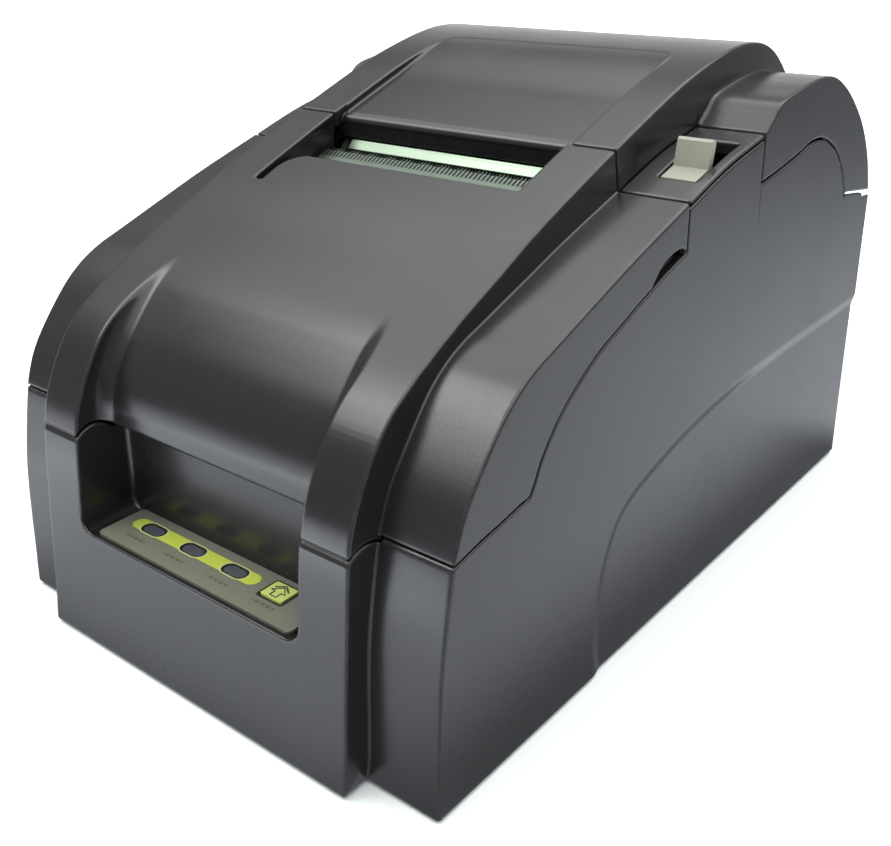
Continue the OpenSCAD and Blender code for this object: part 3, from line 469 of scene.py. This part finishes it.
def make_main_case():
    grid = Section((-1.5, 250), (-0.6, 136.5), step=0.5)
    band, whole, front_band, front_side, roll_band, roll_side = map(
        grid.poly, (BAND, WHOLE, FRONT_BAND, CASE_SIDE, ROLL_BAND, ROLL_SIDE))
    side_inset = smoothstep(0.5 - grid.poly(INSET) / 5.0)     # 1 mm step, eased over five
    side_lip = grid.poly([(90, 98), (112, 98), (112, 115.2), (104, 115), (95.5, 111)])
    side_lip_foot = grid.poly([(90, 98), (111.6, 98), (111.6, 105), (96, 103.5)])
    bottom_wide = grid.box(11.6, 248 - WALL, -3, 20)
    bottom_front = grid.box(3.4, 60, -3, 20)
    over_deck = carve(grid.box(112.5, 155.9, 110, 190), grid.poly(lower(SHOULDER, 1.75)))
    deck_room = grid.box(112.5, 156.5, 100, 190)
    rear_gap = grid.poly([(224.4, 102.7), (239.4, 100.4), (240.6, 97.8), (262, 97.8), (262, 112),
                          (224.4, 112)])
    middle_room = grid.box(70, 156.5, 90, 190)
    hinge_y, hinge_z = FRONT_HINGE
    front_hole = grid.disc(FRONT_HINGE, 1.6)
    lug = grid.poly([(3.2, 46), (6.4, 46), (hinge_y + 2.6, hinge_z - 2.4),
                     (hinge_y, hinge_z + 3.5), (4.9, 60)])
    lug = carve(join(grid.disc(FRONT_HINGE, 3.6), lug, edge=0.3), front_hole)
    rear_y, rear_z = REAR_HINGE
    knuckle = join(grid.disc(REAR_HINGE, 2.9), grid.box(rear_y - 2.9, rear_y + 2.9, 88, rear_z))
    rear_hole = grid.disc(REAR_HINGE, 1.55)
    ledge = grid.box(40, 210, 4.4, 6.4)
    rear_opening = grid.box(240, 262, 10, 42)
    left_opening = grid.box(28, 48, 22, 35)
    recess_room = grid.box(0, 24, 30, 70)
    recess_back, recess_wall = 21.5, 2.2
    post_x = 70

    def recess(x, bottom, grow=0):
        edge = 42.5 + grow
        return join(rounded_rect(x, grid.z, (-edge, edge), (bottom - grow, 55), 4.6),
                    meet(45 - grid.z, np.abs(x) - 42.5 - grow))

    def through(x, x_span, y_span):
        """Upright hole through the floor of the front recess."""
        return meet(rounded_rect(x, grid.y, x_span, y_span, 0.5), 20 - grid.z, grid.z - 36)

    def section_at(x):
        across = abs(x)
        solid = outer_body(across, band, whole, side_edge=0.9, inset=side_inset)
        # round the foot of the walls
        solid = meet(solid, -grid.z + FOOT_Z, edge=0.5)
        solid = carve(solid, inner_body(across, band, whole, WALL))
        solid = carve(solid, meet(bottom_wide, across - HALF + WALL))
        solid = carve(solid, meet(bottom_front, across - BAND_HALF + WALL))
        if across < 62:
            # walled recess in the front, with a slightly higher floor near the face
            block = recess(x, 35, recess_wall)
            block = meet(block, grid.y - (recess_back + recess_wall), band, recess_room)
            solid = join(solid, block)
            room = join(meet(recess(x, 35.8), grid.y - 6), meet(recess(x, 34.9), 3.5 - grid.y))
            solid = carve(solid, meet(room, grid.y - recess_back, edge=1.6), edge=0.6)
        front = cover_zone(across, front_band, front_side, FRONT_SEAM)
        solid = carve(solid, front - 0.62, edge=0.22)
        rear = cover_zone(across, roll_band, roll_side, ROLL_SEAM)
        solid = carve(solid, rear - 0.68, edge=0.25)
        solid = carve(solid, meet(over_deck, BAND_HALF - 20 - across), edge=0.4)
        solid = carve(solid, meet(deck_room, across - HALF + WALL))
        narrowing = 1.35 * min(1.0, max(0.0, (across - 76.8) / 3.0))
        solid = carve(solid, rear_gap + narrowing, edge=0.3)
        solid = carve(solid, meet(middle_room, across - BAND_HALF - 1.3))
        for start in (46, 53.6):
            solid = add(solid, lug, across, (start, start + 2.4))
        for start in KNUCKLE_XS:
            solid = add(solid, knuckle, across, (start, start + KNUCKLE_WIDE))
        solid = add(solid, ledge, across, (BAND_HALF + 12, HALF - WALL + 0.5))
        solid = add(solid, side_lip, across, (75.2, 77.2), edge=0.4)
        solid = add(solid, side_lip_foot, across, (76, HALF - WALL + 0.5))
        if 62 < across < 78:
            for y in (48, 202):
                solid = join(solid, grid.post(across - post_x, y, 4.2, 4.4, 22))
                solid = carve(solid, grid.post(across - post_x, y, 1.3, 4, 16))
        if 28 < across < 40:
            solid = join(solid, grid.post(across - 34, 15, 2.4, 28, 33.4))
        solid = cut(solid, front_hole, across, (46, 56))
        solid = cut(solid, rear_hole, across, (32, 48))
        solid = cut(solid, rear_opening, across, (-46, 46), edge=0.4)
        if 17 < x < 31:
            solid = carve(solid, through(x, BUTTON_X, BUTTON_Y))
        for mid in WINDOW_XS:
            if abs(x - mid) < 7:
                span = (mid - WINDOW_HALF, mid + WINDOW_HALF)
                solid = carve(solid, through(x, span, WINDOW_Y))
        return cut(solid, left_opening, x, (-HALF - 3, -HALF + WALL + 1), edge=0.3)

    windows = [mid + side * WINDOW_HALF for mid in WINDOW_XS for side in (-1, 1)]
    return build("main_case_shell", grid, section_at, mirrored=(
        33, 35.6, 38.3, 40.2, 42.4, 44.7, 46, 48.4, 53.6, BAND_HALF - WALL, BAND_HALF,
        BAND_HALF + 1.2, 65.6, 70, 74.6, HALF - WALL, HALF - 0.6), single=(*windows, *BUTTON_X))


def make_inner_frame():
    grid = Section((112, 221.5), (2.5, 137), step=0.5)
    shoulder = grid.poly(SHOULDER)
    deck = grid.poly([(113.5, 118.6), (155.7, 129.6), (155.7, 150), (113.5, 150)])
    under_deck = grid.poly([(100, 98)] + lower([point for point in SHOULDER_TOP
                                                if point[0] > 100], 3.8)
                           + [(170, 134), (170, 98)])
    rim_room = grid.poly(lower(SHOULDER, 1.0))
    deck_wall, shelf = grid.box(113.6, 155.6, 100, 121.5), grid.box(124, 155.6, 98, 100.4)
    bowl_side = grid.poly([(124, 58), (134, 47), (206, 47), (219, 60), (219, 98), (150, 100.4),
                           (124, 100.4)])
    bowl = grid.poly([(122.6, 60), (133, 46), (207, 46), (219.6, 60), (219.6, 98), (217.4, 98),
                      (217.4, 61), (206, 48.2), (134, 48.2), (124.9, 60.6), (124.9, 96),
                      (122.6, 96)])
    leg, rear_web = grid.box(130, 142, 4.3, 48.1), grid.box(205, 207.4, 60, 96)
    slot, window = grid.box(122.4, 147.2, 110, 150), grid.box(122, 139, 106, 118.4)
    wall_in, wall_out = BAND_HALF + 1.4, BAND_HALF + 3.6
    bowl_in, bowl_out = 40.4, 42.8
    leg_span, slot_span = (32.8, 35.2), (65.4, 76.6)

    def section_at(x):
        across = abs(x)
        solid = np.full(shoulder.shape, 9, np.float32)
        if across > BAND_HALF - 2:
            top = meet(meet(shoulder, deck, edge=0.35), across - HALF, edge=0.9)
            top = meet(top, wall_in - across, edge=0.3)
            beside = max(wall_out - across, across - HALF + WALL + 0.5)
            top = carve(top, meet(under_deck, beside))
            top = carve(top, meet(rim_room, HALF - WALL - 0.4 - across))
            solid = join(solid, top)
        solid = add(solid, deck_wall, across, (wall_in, wall_out), edge=0.4)
        solid = add(solid, shelf, across, (bowl_out, wall_out), edge=0.4)
        solid = add(solid, bowl_side, across, (bowl_in, bowl_out), edge=0.6)
        solid = add(solid, bowl, across, (-1, bowl_out), edge=0.6)
        solid = add(solid, leg, across, leg_span)
        solid = add(solid, rear_web, across, (bowl_out - 0.1, HALF - WALL - 0.2))
        solid = cut(solid, slot, x, slot_span, edge=0.45, hole_edge=1.0)
        return cut(solid, window, across, (BAND_HALF, BAND_HALF + 4))

    return build("inner_frame_shell", grid, section_at, mirrored=(
        *leg_span, bowl_in, bowl_out, wall_in, wall_out, HALF - WALL, HALF - 0.5),
        single=slot_span)


# ------------------------------------------------------------------ shader nodes
class Nodes:
    """Adds nodes to one tree; methods other than fill and node return an output socket."""

    def __init__(self, tree):
        self.tree = tree

    def fill(self, node, inputs):
        for key, value in inputs.items():
            if isinstance(value, bpy.types.NodeSocket):
                self.tree.links.new(value, node.inputs[key])
            else:
                node.inputs[key].default_value = value

    def node(self, kind, inputs, **settings):
        node = self.tree.nodes.new("ShaderNode" + kind)
        for key, value in settings.items():
            setattr(node, key, value)
        self.fill(node, inputs)
        return node

    def calc(self, operation, *values, clamp=False):
        inputs = dict(enumerate(values))
        return self.node("Math", inputs, operation=operation, use_clamp=clamp).outputs[0]

    def remap(self, source, span, to, kind="LINEAR"):
        inputs = {"Value": source, "From Min": span[0], "From Max": span[1],
                  "To Min": to[0], "To Max": to[1]}
        return self.node("MapRange", inputs, interpolation_type=kind).outputs["Result"]

    def ease(self, source, span, to):
        return self.remap(source, span, to, "SMOOTHSTEP")

    def mix(self, factor, low, high):
        low, high = ((*c, 1) if isinstance(c, tuple) else c for c in (low, high))
        return self.node("Mix", {0: factor, 6: low, 7: high}, data_type="RGBA").outputs[2]

    def axes(self, vector):
        return self.node("SeparateXYZ", {0: vector}).outputs

    def noise(self, scale, detail=3.0, roughness=0.55, stretch=(1, 1, 1)):
        place = self.node("Mapping", {0: self.coords.outputs["Object"], "Scale": stretch})
        return self.node("TexNoise", {"Scale": scale, "Detail": detail, "Roughness": roughness,
                                      "Vector": place.outputs[0]}).outputs["Fac"]

    def bump(self, height, distance, strength, under=None):
        inputs = {"Strength": strength, "Distance": distance, "Height": height}
        if under is not None:
            inputs["Normal"] = under
        return self.node("Bump", inputs).outputs[0]

    def beyond(self, value, half):
        """How far |value| is past half, or 0."""
        past = self.calc("SUBTRACT", self.calc("ABSOLUTE", value), half)
        return self.calc("MAXIMUM", past, 0.0)

    def length(self, a, b):
        squares = self.calc("MULTIPLY", a, a), self.calc("MULTIPLY", b, b)
        return self.calc("SQRT", self.calc("ADD", *squares))

    def fold(self, operation, sockets):
        return reduce(lambda a, b: self.calc(operation, a, b), sockets)


FINISHES = {}


def new_material(name):
    material = bpy.data.materials.new(name)
    material.use_nodes = True
    material.node_tree.nodes.clear()
    nodes = Nodes(material.node_tree)
    nodes.surface = nodes.node("BsdfPrincipled", {})
    nodes.output = nodes.node("OutputMaterial", {0: nodes.surface.outputs[0]})
    nodes.coords = nodes.node("TexCoord", {})
    FINISHES[name] = material
    return nodes


def dress(nodes, color, roughness, normal, **others):
    nodes.fill(nodes.surface, {"Base Color": color, "Roughness": roughness, "Normal": normal,
                               **others})


def plastic(name, color, roughness, grain=1500, grain_height=0.000009, wear=0.0, variation=0.25):
    """Moulded plastic; wear lightens the convex edges."""
    nodes = new_material(name)
    cloud, fine = nodes.noise(scale=28, detail=4), nodes.noise(scale=grain, detail=2)
    lighter = tuple(min(1, c * (1 + variation)) for c in color)
    tone = nodes.mix(cloud, color, lighter)
    if wear > 0:
        edge = nodes.node("Attribute", {}, attribute_name="edge").outputs["Fac"]
        patches = nodes.remap(nodes.noise(scale=220, detail=5), span=(0.35, 0.7), to=(0.2, 1.0))
        worn = nodes.calc("MULTIPLY", nodes.remap(edge, span=(0.25, 0.9), to=(0, 1)), patches,
                          clamp=True)
        tone = nodes.mix(nodes.calc("MULTIPLY", worn, wear), tone,
                         tuple(min(1, c * 5 + 0.05) for c in color))
    shine = nodes.calc(
        "ADD", nodes.remap(cloud, span=(0.3, 0.7), to=(roughness - 0.035, roughness + 0.035)),
        nodes.remap(fine, span=(0.3, 0.7), to=(-0.02, 0.02)))
    grained = nodes.bump(fine, distance=grain_height, strength=0.6)
    waves = nodes.noise(scale=60, detail=2)
    normal = nodes.bump(waves, distance=0.00002, strength=0.2, under=grained)
    dress(nodes, tone, shine, normal, **{"IOR": 1.5, "Specular IOR Level": 0.5})


def comb_tone_with_painted_shade(nodes):
    """Teeth of the tear bar as colour: painted shade in nearly black stripes between the teeth,
    running back over the rear part of the bar, on a dark steel tone.
    """
    along = nodes.axes(nodes.coords.outputs["Generated"])
    wave = nodes.calc("SINE", nodes.calc("MULTIPLY", along[0], 2 * math.pi * TEETH))
    # painted shade: stripes where the gaps between the teeth fall in shade
    notch = nodes.remap(wave, span=(-0.35, 0.35), to=(0.0, 1.0))
    toothed = nodes.remap(along[1], span=(0.44, 0.52), to=(0.0, 1.0))
    light = nodes.mix(nodes.noise(scale=400), (0.095, 0.115, 0.098), (0.135, 0.16, 0.136))
    # the painted shade darkens the stripes to near black
    return nodes.mix(nodes.calc("MULTIPLY", notch, toothed), light, (0.010, 0.012, 0.010))


def metal(name, roughness, color=None, brushed=False, grain=900):
    """Metal, brushed along x if asked; without a color it wears the comb."""
    nodes = new_material(name)
    nodes.surface.inputs["Metallic"].default_value = 1.0
    fine = nodes.noise(scale=grain, detail=3, roughness=0.6,
                       stretch=(0.03, 1, 1) if brushed else (1, 1, 1))
    cloud = nodes.noise(scale=35, detail=4)
    if color is None:
        tone = comb_tone_with_painted_shade(nodes)
    else:
        tone = nodes.mix(cloud, tuple(c * 0.86 for c in color), color)
    shine = nodes.calc(
        "ADD", nodes.remap(fine, span=(0.25, 0.75), to=(roughness - 0.07, roughness + 0.07)),
        nodes.remap(cloud, span=(0.3, 0.7), to=(-0.04, 0.04)))
    dress(nodes, tone, shine, nodes.bump(fine, distance=0.00002, strength=0.5))


def label_material():
    """Printed front label: a stripe, outlined windows and rows of dashes, placed in mm."""
    nodes = new_material("label_grey")
    calc = nodes.calc
    place = nodes.axes(nodes.coords.outputs["Object"])
    x = calc("MULTIPLY", place[0], 1000)
    y = calc("ADD", calc("MULTIPLY", place[1], 1000), -Y_SHIFT)

    def within(value, middle, half):
        off = calc("ABSOLUTE", calc("SUBTRACT", value, middle))
        return calc("LESS_THAN", off, half)

    def outline(mid_x, mid_y, half_x, half_y, radius):
        past_x = nodes.beyond(calc("SUBTRACT", x, mid_x), half_x - radius)
        past_y = nodes.beyond(calc("SUBTRACT", y, mid_y), half_y - radius)
        return calc("SUBTRACT", nodes.length(past_x, past_y), radius)

    # stripe with round ends round the three windows
    stripe_x = nodes.beyond(calc("ADD", x, 9.0), half=22.5)
    stripe_dist = nodes.length(stripe_x, calc("SUBTRACT", y, 15.2))
    stripe = calc("LESS_THAN", stripe_dist, 2.55)
    # printed dashes in front of the windows and the button
    near = nodes.fold("MAXIMUM", [within(x, mid, 3.9) for mid in (-26.5, -10.5, 7.0, 24.0)])
    row = within(y, middle=9.1, half=0.55)
    dash_pitch, dash_part = 0.52, 0.72      # dashes per mm, printed part of each
    count = calc("MULTIPLY", calc("ADD", x, 100.0), dash_pitch)
    dash = calc("LESS_THAN", calc("FRACT", count), dash_part)
    mark = calc("MULTIPLY", calc("MULTIPLY", near, row), dash)

    speckle = nodes.noise(scale=1500)
    grey = nodes.mix(speckle, (0.128, 0.125, 0.098), (0.165, 0.160, 0.128))
    lime = nodes.mix(speckle, (0.38, 0.45, 0.050), (0.46, 0.53, 0.075))
    window_y, window_half_y = sum(WINDOW_Y) / 2, (WINDOW_Y[1] - WINDOW_Y[0]) / 2
    windows = nodes.fold("MINIMUM", [
        outline(mid, window_y, WINDOW_HALF, window_half_y, radius=2.0) for mid in WINDOW_XS])
    button = outline(BUTTON_MID_X, sum(BUTTON_Y) / 2, (BUTTON_X[1] - BUTTON_X[0]) / 2,
                     (BUTTON_Y[1] - BUTTON_Y[0]) / 2, radius=0.6)
    halo_width, window_line, button_line = 0.75, 0.36, 0.42
    halo = calc("LESS_THAN", windows, halo_width)
    ring = calc("MAXIMUM", calc("LESS_THAN", windows, window_line),
                calc("LESS_THAN", button, button_line))
    face = nodes.mix(halo, nodes.mix(stripe, grey, lime), (0.50, 0.56, 0.22))
    face = nodes.mix(ring, face, (0.012, 0.014, 0.010))
    mark_strength = 0.55
    face = nodes.mix(calc("MULTIPLY", mark, mark_strength), face, (0.045, 0.045, 0.035))
    grained = nodes.bump(speckle, distance=0.00002, strength=0.5)
    dress(nodes, face, nodes.remap(speckle, span=(0.3, 0.7), to=(0.36, 0.46)),
          nodes.bump(stripe, distance=0.00004, strength=0.4, under=grained))


def button_material():
    nodes = new_material("button_lime")
    speckle = nodes.noise(scale=1500)
    dress(nodes, nodes.mix(speckle, (0.45, 0.51, 0.13), (0.52, 0.58, 0.17)),
          nodes.remap(speckle, span=(0.3, 0.7), to=(0.34, 0.44)),
          nodes.bump(speckle, distance=0.00002, strength=0.5))


def make_finishes():
    plastic("case_black", color=(0.0095, 0.0093, 0.0102), roughness=0.25, wear=0.16)
    plastic("inner_black", color=(0.016, 0.016, 0.017), roughness=0.48)
    plastic("lever_white", color=(0.26, 0.26, 0.215), roughness=0.42, grain=1800, variation=0.06)
    plastic("lens_dark", color=(0.055, 0.060, 0.072), roughness=0.22, grain_height=0.000004)
    plastic("print_black", color=(0.012, 0.014, 0.012), roughness=0.5)
    plastic("rubber", color=(0.02, 0.02, 0.02), roughness=0.75, grain_height=0.00006)
    plastic("ribbon", color=(0.01, 0.01, 0.014), roughness=0.7, grain=3500)
    plastic("pcb", color=(0.015, 0.09, 0.045), roughness=0.35)
    plastic("chips", color=(0.02, 0.02, 0.022), roughness=0.5)
    plastic("gear_cream", color=(0.46, 0.43, 0.33), roughness=0.42, variation=0.05)
    metal("steel", color=(0.25, 0.25, 0.26), roughness=0.34, brushed=True)
    metal("tear_steel", roughness=0.40, brushed=True)
    metal("bright_steel", color=(0.165, 0.205, 0.160), roughness=0.30, brushed=True)
    metal("shaft_steel", color=(0.34, 0.34, 0.35), roughness=0.2, brushed=True, grain=1400)
    metal("head_alu", color=(0.22, 0.22, 0.23), roughness=0.45)
    metal("motor_metal", color=(0.18, 0.18, 0.19), roughness=0.42)
    metal("brass", color=(0.33, 0.25, 0.11), roughness=0.32)
    label_material()
    button_material()


# ------------------------------------------------------------------ CAD pieces
def read_slots(item, slots):
    """Collects {CAD node: finish name} from the nested record."""
    if isinstance(item, list):
        for entry in item:
            read_slots(entry, slots)
    elif isinstance(item, dict):
        for key, value in item.items():
            if key == "subparts" and isinstance(value, list):
                for part in value:
                    slots[part.get("node") or part.get("name")] = part.get("material_slot")
            elif key in ("material_slots", "slots"):
                named = []
                if isinstance(value, dict):
                    named = value.items()
                elif isinstance(value, list):
                    named = [(entry.get("name") or entry.get("slot"), entry)
                             for entry in value if isinstance(entry, dict)]
                for finish, entry in named:
                    if isinstance(entry, dict) and "nodes" in entry:
                        slots.update((node, finish) for node in entry["nodes"])
            read_slots(value, slots)


def dress_cad():
    slots = {}
    read_slots(frame["record"], slots)
    slots["tear_bar"] = "tear_steel"
    for name, obj in frame["nodes"].items():
        finish = FINISHES.get(slots.get(name, "inner_black"), FINISHES["inner_black"])
        obj.data.materials.clear()
        obj.data.materials.append(finish)
        for face in obj.data.polygons:
            face.use_smooth = True
        obj.modifiers.new("weld", "WELD").merge_threshold = 0.00001
        bevel = obj.modifiers.new("bevel", "BEVEL")
        bevel.width = 0.0005 if name == "release_lever" else 0.00022
        bevel.segments = 2
        bevel.limit_method = "ANGLE"
        bevel.angle_limit = math.radians(32)
        bevel.harden_normals = False
        obj.modifiers.new("wn", "WEIGHTED_NORMAL").keep_sharp = False


def place_shells():
    for make, body, node in ((make_front_cover, "front_cover", "front_cover"),
                             (make_roll_cover, "roll_cover", "roll_cover"),
                             (make_main_case, "chassis", "main_case"),
                             (make_inner_frame, "chassis", "inner_frame")):
        shell = make()
        shell.data.materials.append(FINISHES["case_black"])
        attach(shell, body)
        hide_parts(node)


def make_arrow():
    """Raised arrow outline with a chevron over its tip, on the feed button."""
    middle_y, top_z, scale = 14.7, 36.3, 1.05
    outline = [(0.0, 2.35), (2.25, 0.15), (1.05, 0.15), (1.05, -1.75), (-1.05, -1.75),
               (-1.05, 0.15), (-2.25, 0.15)]
    chevron = [(-2.3, 1.35), (-0.15, 2.95), (0.15, 2.95), (2.3, 1.35)]
    line = bpy.data.curves.new("feed_arrow", "CURVE")
    line.dimensions = "3D"
    line.bevel_depth = 0.00022
    line.bevel_resolution = 3
    for path, closed in ((outline, True), (chevron, False)):
        spline = line.splines.new("POLY")
        spline.points.add(len(path) - 1)
        for point, (x, y) in zip(spline.points, path):
            point.co = ((BUTTON_MID_X + x * scale) * 0.001,
                        (middle_y + y * scale + Y_SHIFT) * 0.001, top_z * 0.001, 1)
        spline.use_cyclic_u = closed
    arrow = bpy.data.objects.new("feed_arrow", line)
    bpy.context.scene.collection.objects.link(arrow)
    line.materials.append(FINISHES["print_black"])
    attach(arrow, "feed_button")


# ------------------------------------------------------------------ stage (metres)
def floor_glow(nodes):
    """Painted light on the floor as reflections see it, by distance from the body: painted shadow
    close to the body, brighter further out, and a painted pool of light at the front left.
    """
    calc, ease = nodes.calc, nodes.ease
    x, y, _ = nodes.axes(nodes.node("NewGeometry", {}).outputs["Position"])
    away = nodes.length(nodes.beyond(x, half=0.080), nodes.beyond(y, half=0.120))
    # painted shadow beside the body, darkest close to it and dimmer towards the back
    sides = calc("MULTIPLY", ease(away, span=(0.004, 0.040), to=(0.30, 1.22)),
                 ease(y, span=(0.05, 0.80), to=(1.0, 0.30)))
    # painted light in front: darker near the body, brighter further out
    rise = nodes.remap(away, span=(0.0, 0.23), to=(1.15, 3.9))
    front = calc("ADD", rise, 0.0)
    # the lit patch reaches further at the front left
    reach = ease(x, span=(-0.25, -0.05), to=(0.20, 0.0))
    fade = ease(calc("SUBTRACT", away, reach), span=(0.17, 0.26), to=(1.0, 0.09))
    front = calc("MULTIPLY", front, fade)
    front = calc("MULTIPLY", front, ease(x, span=(0.03, 0.10), to=(1.0, 0.40)))
    # painted pool of light at the front left, in a ring round the body
    pool = calc("MULTIPLY", ease(x, span=(-0.24, -0.10), to=(0.0, 1.0)),
                ease(x, span=(-0.05, 0.03), to=(1.6, 0.0)))
    ring = calc("MULTIPLY", ease(away, span=(0.085, 0.13), to=(0.0, 1.0)),
                ease(away, span=(0.15, 0.24), to=(1.0, 0.0)))
    pool = calc("MULTIPLY", pool, ring)
    # painted shade over the far left of the front
    dimmed = calc("MULTIPLY", front, ease(x, span=(-0.22, -0.11), to=(0.62, 1.0)))
    front = calc("ADD", dimmed, pool)
    in_front = ease(y, span=(-0.09, -0.15), to=(0.0, 1.0))
    return calc("ADD", calc("MULTIPLY", front, in_front),
                calc("MULTIPLY", sides, calc("SUBTRACT", 1.0, in_front)))


def make_floor():
    count, half = 24, 9.0
    row = count + 1
    mesh = bpy.data.meshes.new("floor")
    verts = [(-half + 2 * half * i / count, -half + 2 * half * j / count, 0)
             for j in range(row) for i in range(row)]
    faces = [(j * row + i, j * row + i + 1, (j + 1) * row + i + 1, (j + 1) * row + i)
             for j in range(count) for i in range(count)]
    mesh.from_pydata(verts, [], faces)
    floor = bpy.data.objects.new("floor", mesh)
    bpy.context.scene.collection.objects.link(floor)
    nodes = new_material("paper_white")
    dress(nodes, color=(0.90, 0.92, 0.95, 1), roughness=0.8,
          normal=nodes.bump(nodes.noise(scale=400), distance=0.00003, strength=0.3),
          **{"Specular IOR Level": 0.2})
    # painted light: reflections see the floor glow with the painted shadow and light of
    # floor_glow
    glow = nodes.node("Emission", {"Color": (0.97, 1.02, 1.09, 1), "Strength": floor_glow(nodes)})
    glossy = nodes.node("LightPath", {}).outputs["Is Glossy Ray"]
    shown = nodes.node("MixShader", {0: glossy, 1: nodes.surface.outputs[0], 2: glow.outputs[0]})
    nodes.fill(nodes.output, {0: shown.outputs[0]})
    mesh.materials.append(FINISHES["paper_white"])


def make_world():
    """Soft studio: bright ceiling, dim horizon, a large softbox high at the front left."""
    world = bpy.data.worlds.new("studio")
    bpy.context.scene.world = world
    world.use_nodes = True
    nodes = Nodes(world.node_tree)
    direction = nodes.node("TexCoord", {}).outputs["Generated"]

    def lobe(elevation, azimuth, inner, outer, value):
        """Round light; angles in degrees, azimuth from the front towards +x."""
        el, az = math.radians(elevation), math.radians(azimuth)
        toward = (math.sin(az) * math.cos(el), -math.cos(az) * math.cos(el), math.sin(el))
        dot = nodes.node("VectorMath", {}, operation="DOT_PRODUCT")
        nodes.fill(dot, {0: direction, 1: toward})
        span = math.cos(math.radians(outer)), math.cos(math.radians(inner))
        return nodes.ease(dot.outputs["Value"], span, to=(0.0, value))

    horizon, overhead, key = 0.36, 2.95, 5.2
    ceiling = nodes.ease(nodes.axes(direction)[2], span=(0.58, 0.79), to=(horizon, overhead))
    softbox = nodes.calc("MAXIMUM",
                         lobe(elevation=46, azimuth=-47, inner=7, outer=15, value=key),
                         lobe(elevation=54, azimuth=-67, inner=4, outer=12, value=key))
    total = nodes.fold("ADD", [
        ceiling, softbox,
        lobe(elevation=44, azimuth=150, inner=8, outer=28, value=1.3),
        lobe(elevation=9, azimuth=-149, inner=4, outer=24, value=0.75)])
    # the camera itself sees plain white
    seen = nodes.node("LightPath", {}).outputs["Is Camera Ray"]
    strength = nodes.node("Mix", {0: seen, 2: total, 3: 1.0}, data_type="FLOAT").outputs[0]
    nodes.fill(nodes.tree.nodes["Background"], {0: (1.0, 1.03, 1.0, 1), 1: strength})


def make_camera():
    place = (0.2082, -0.2775, 0.2008)
    azimuth, elevation, roll = map(math.radians, (41.75, 21.24, -1.68))
    back = Vector((math.sin(azimuth) * math.cos(elevation),
                   -math.cos(azimuth) * math.cos(elevation), math.sin(elevation)))
    level = (-back).cross(Vector((0, 0, 1))).normalized()
    upright = level.cross(-back)
    right = level * math.cos(roll) + upright * math.sin(roll)
    up = -level * math.sin(roll) + upright * math.cos(roll)
    lens = bpy.data.cameras.new("camera")
    camera = bpy.data.objects.new("camera", lens)
    bpy.context.scene.collection.objects.link(camera)
    camera.matrix_world = Matrix([*zip(right, up, back, place), (0, 0, 0, 1)])
    lens.lens, lens.sensor_width = 46.63, 36
    lens.shift_x, lens.shift_y = 0.0823, -0.0948
    lens.clip_start, lens.clip_end = 0.01, 50
    bpy.context.scene.camera = camera


make_finishes()
dress_cad()
place_shells()
make_arrow()
view = bpy.context.scene.view_settings
view.view_transform = "Standard"
view.look = "None"
make_floor()
make_world()
make_camera()
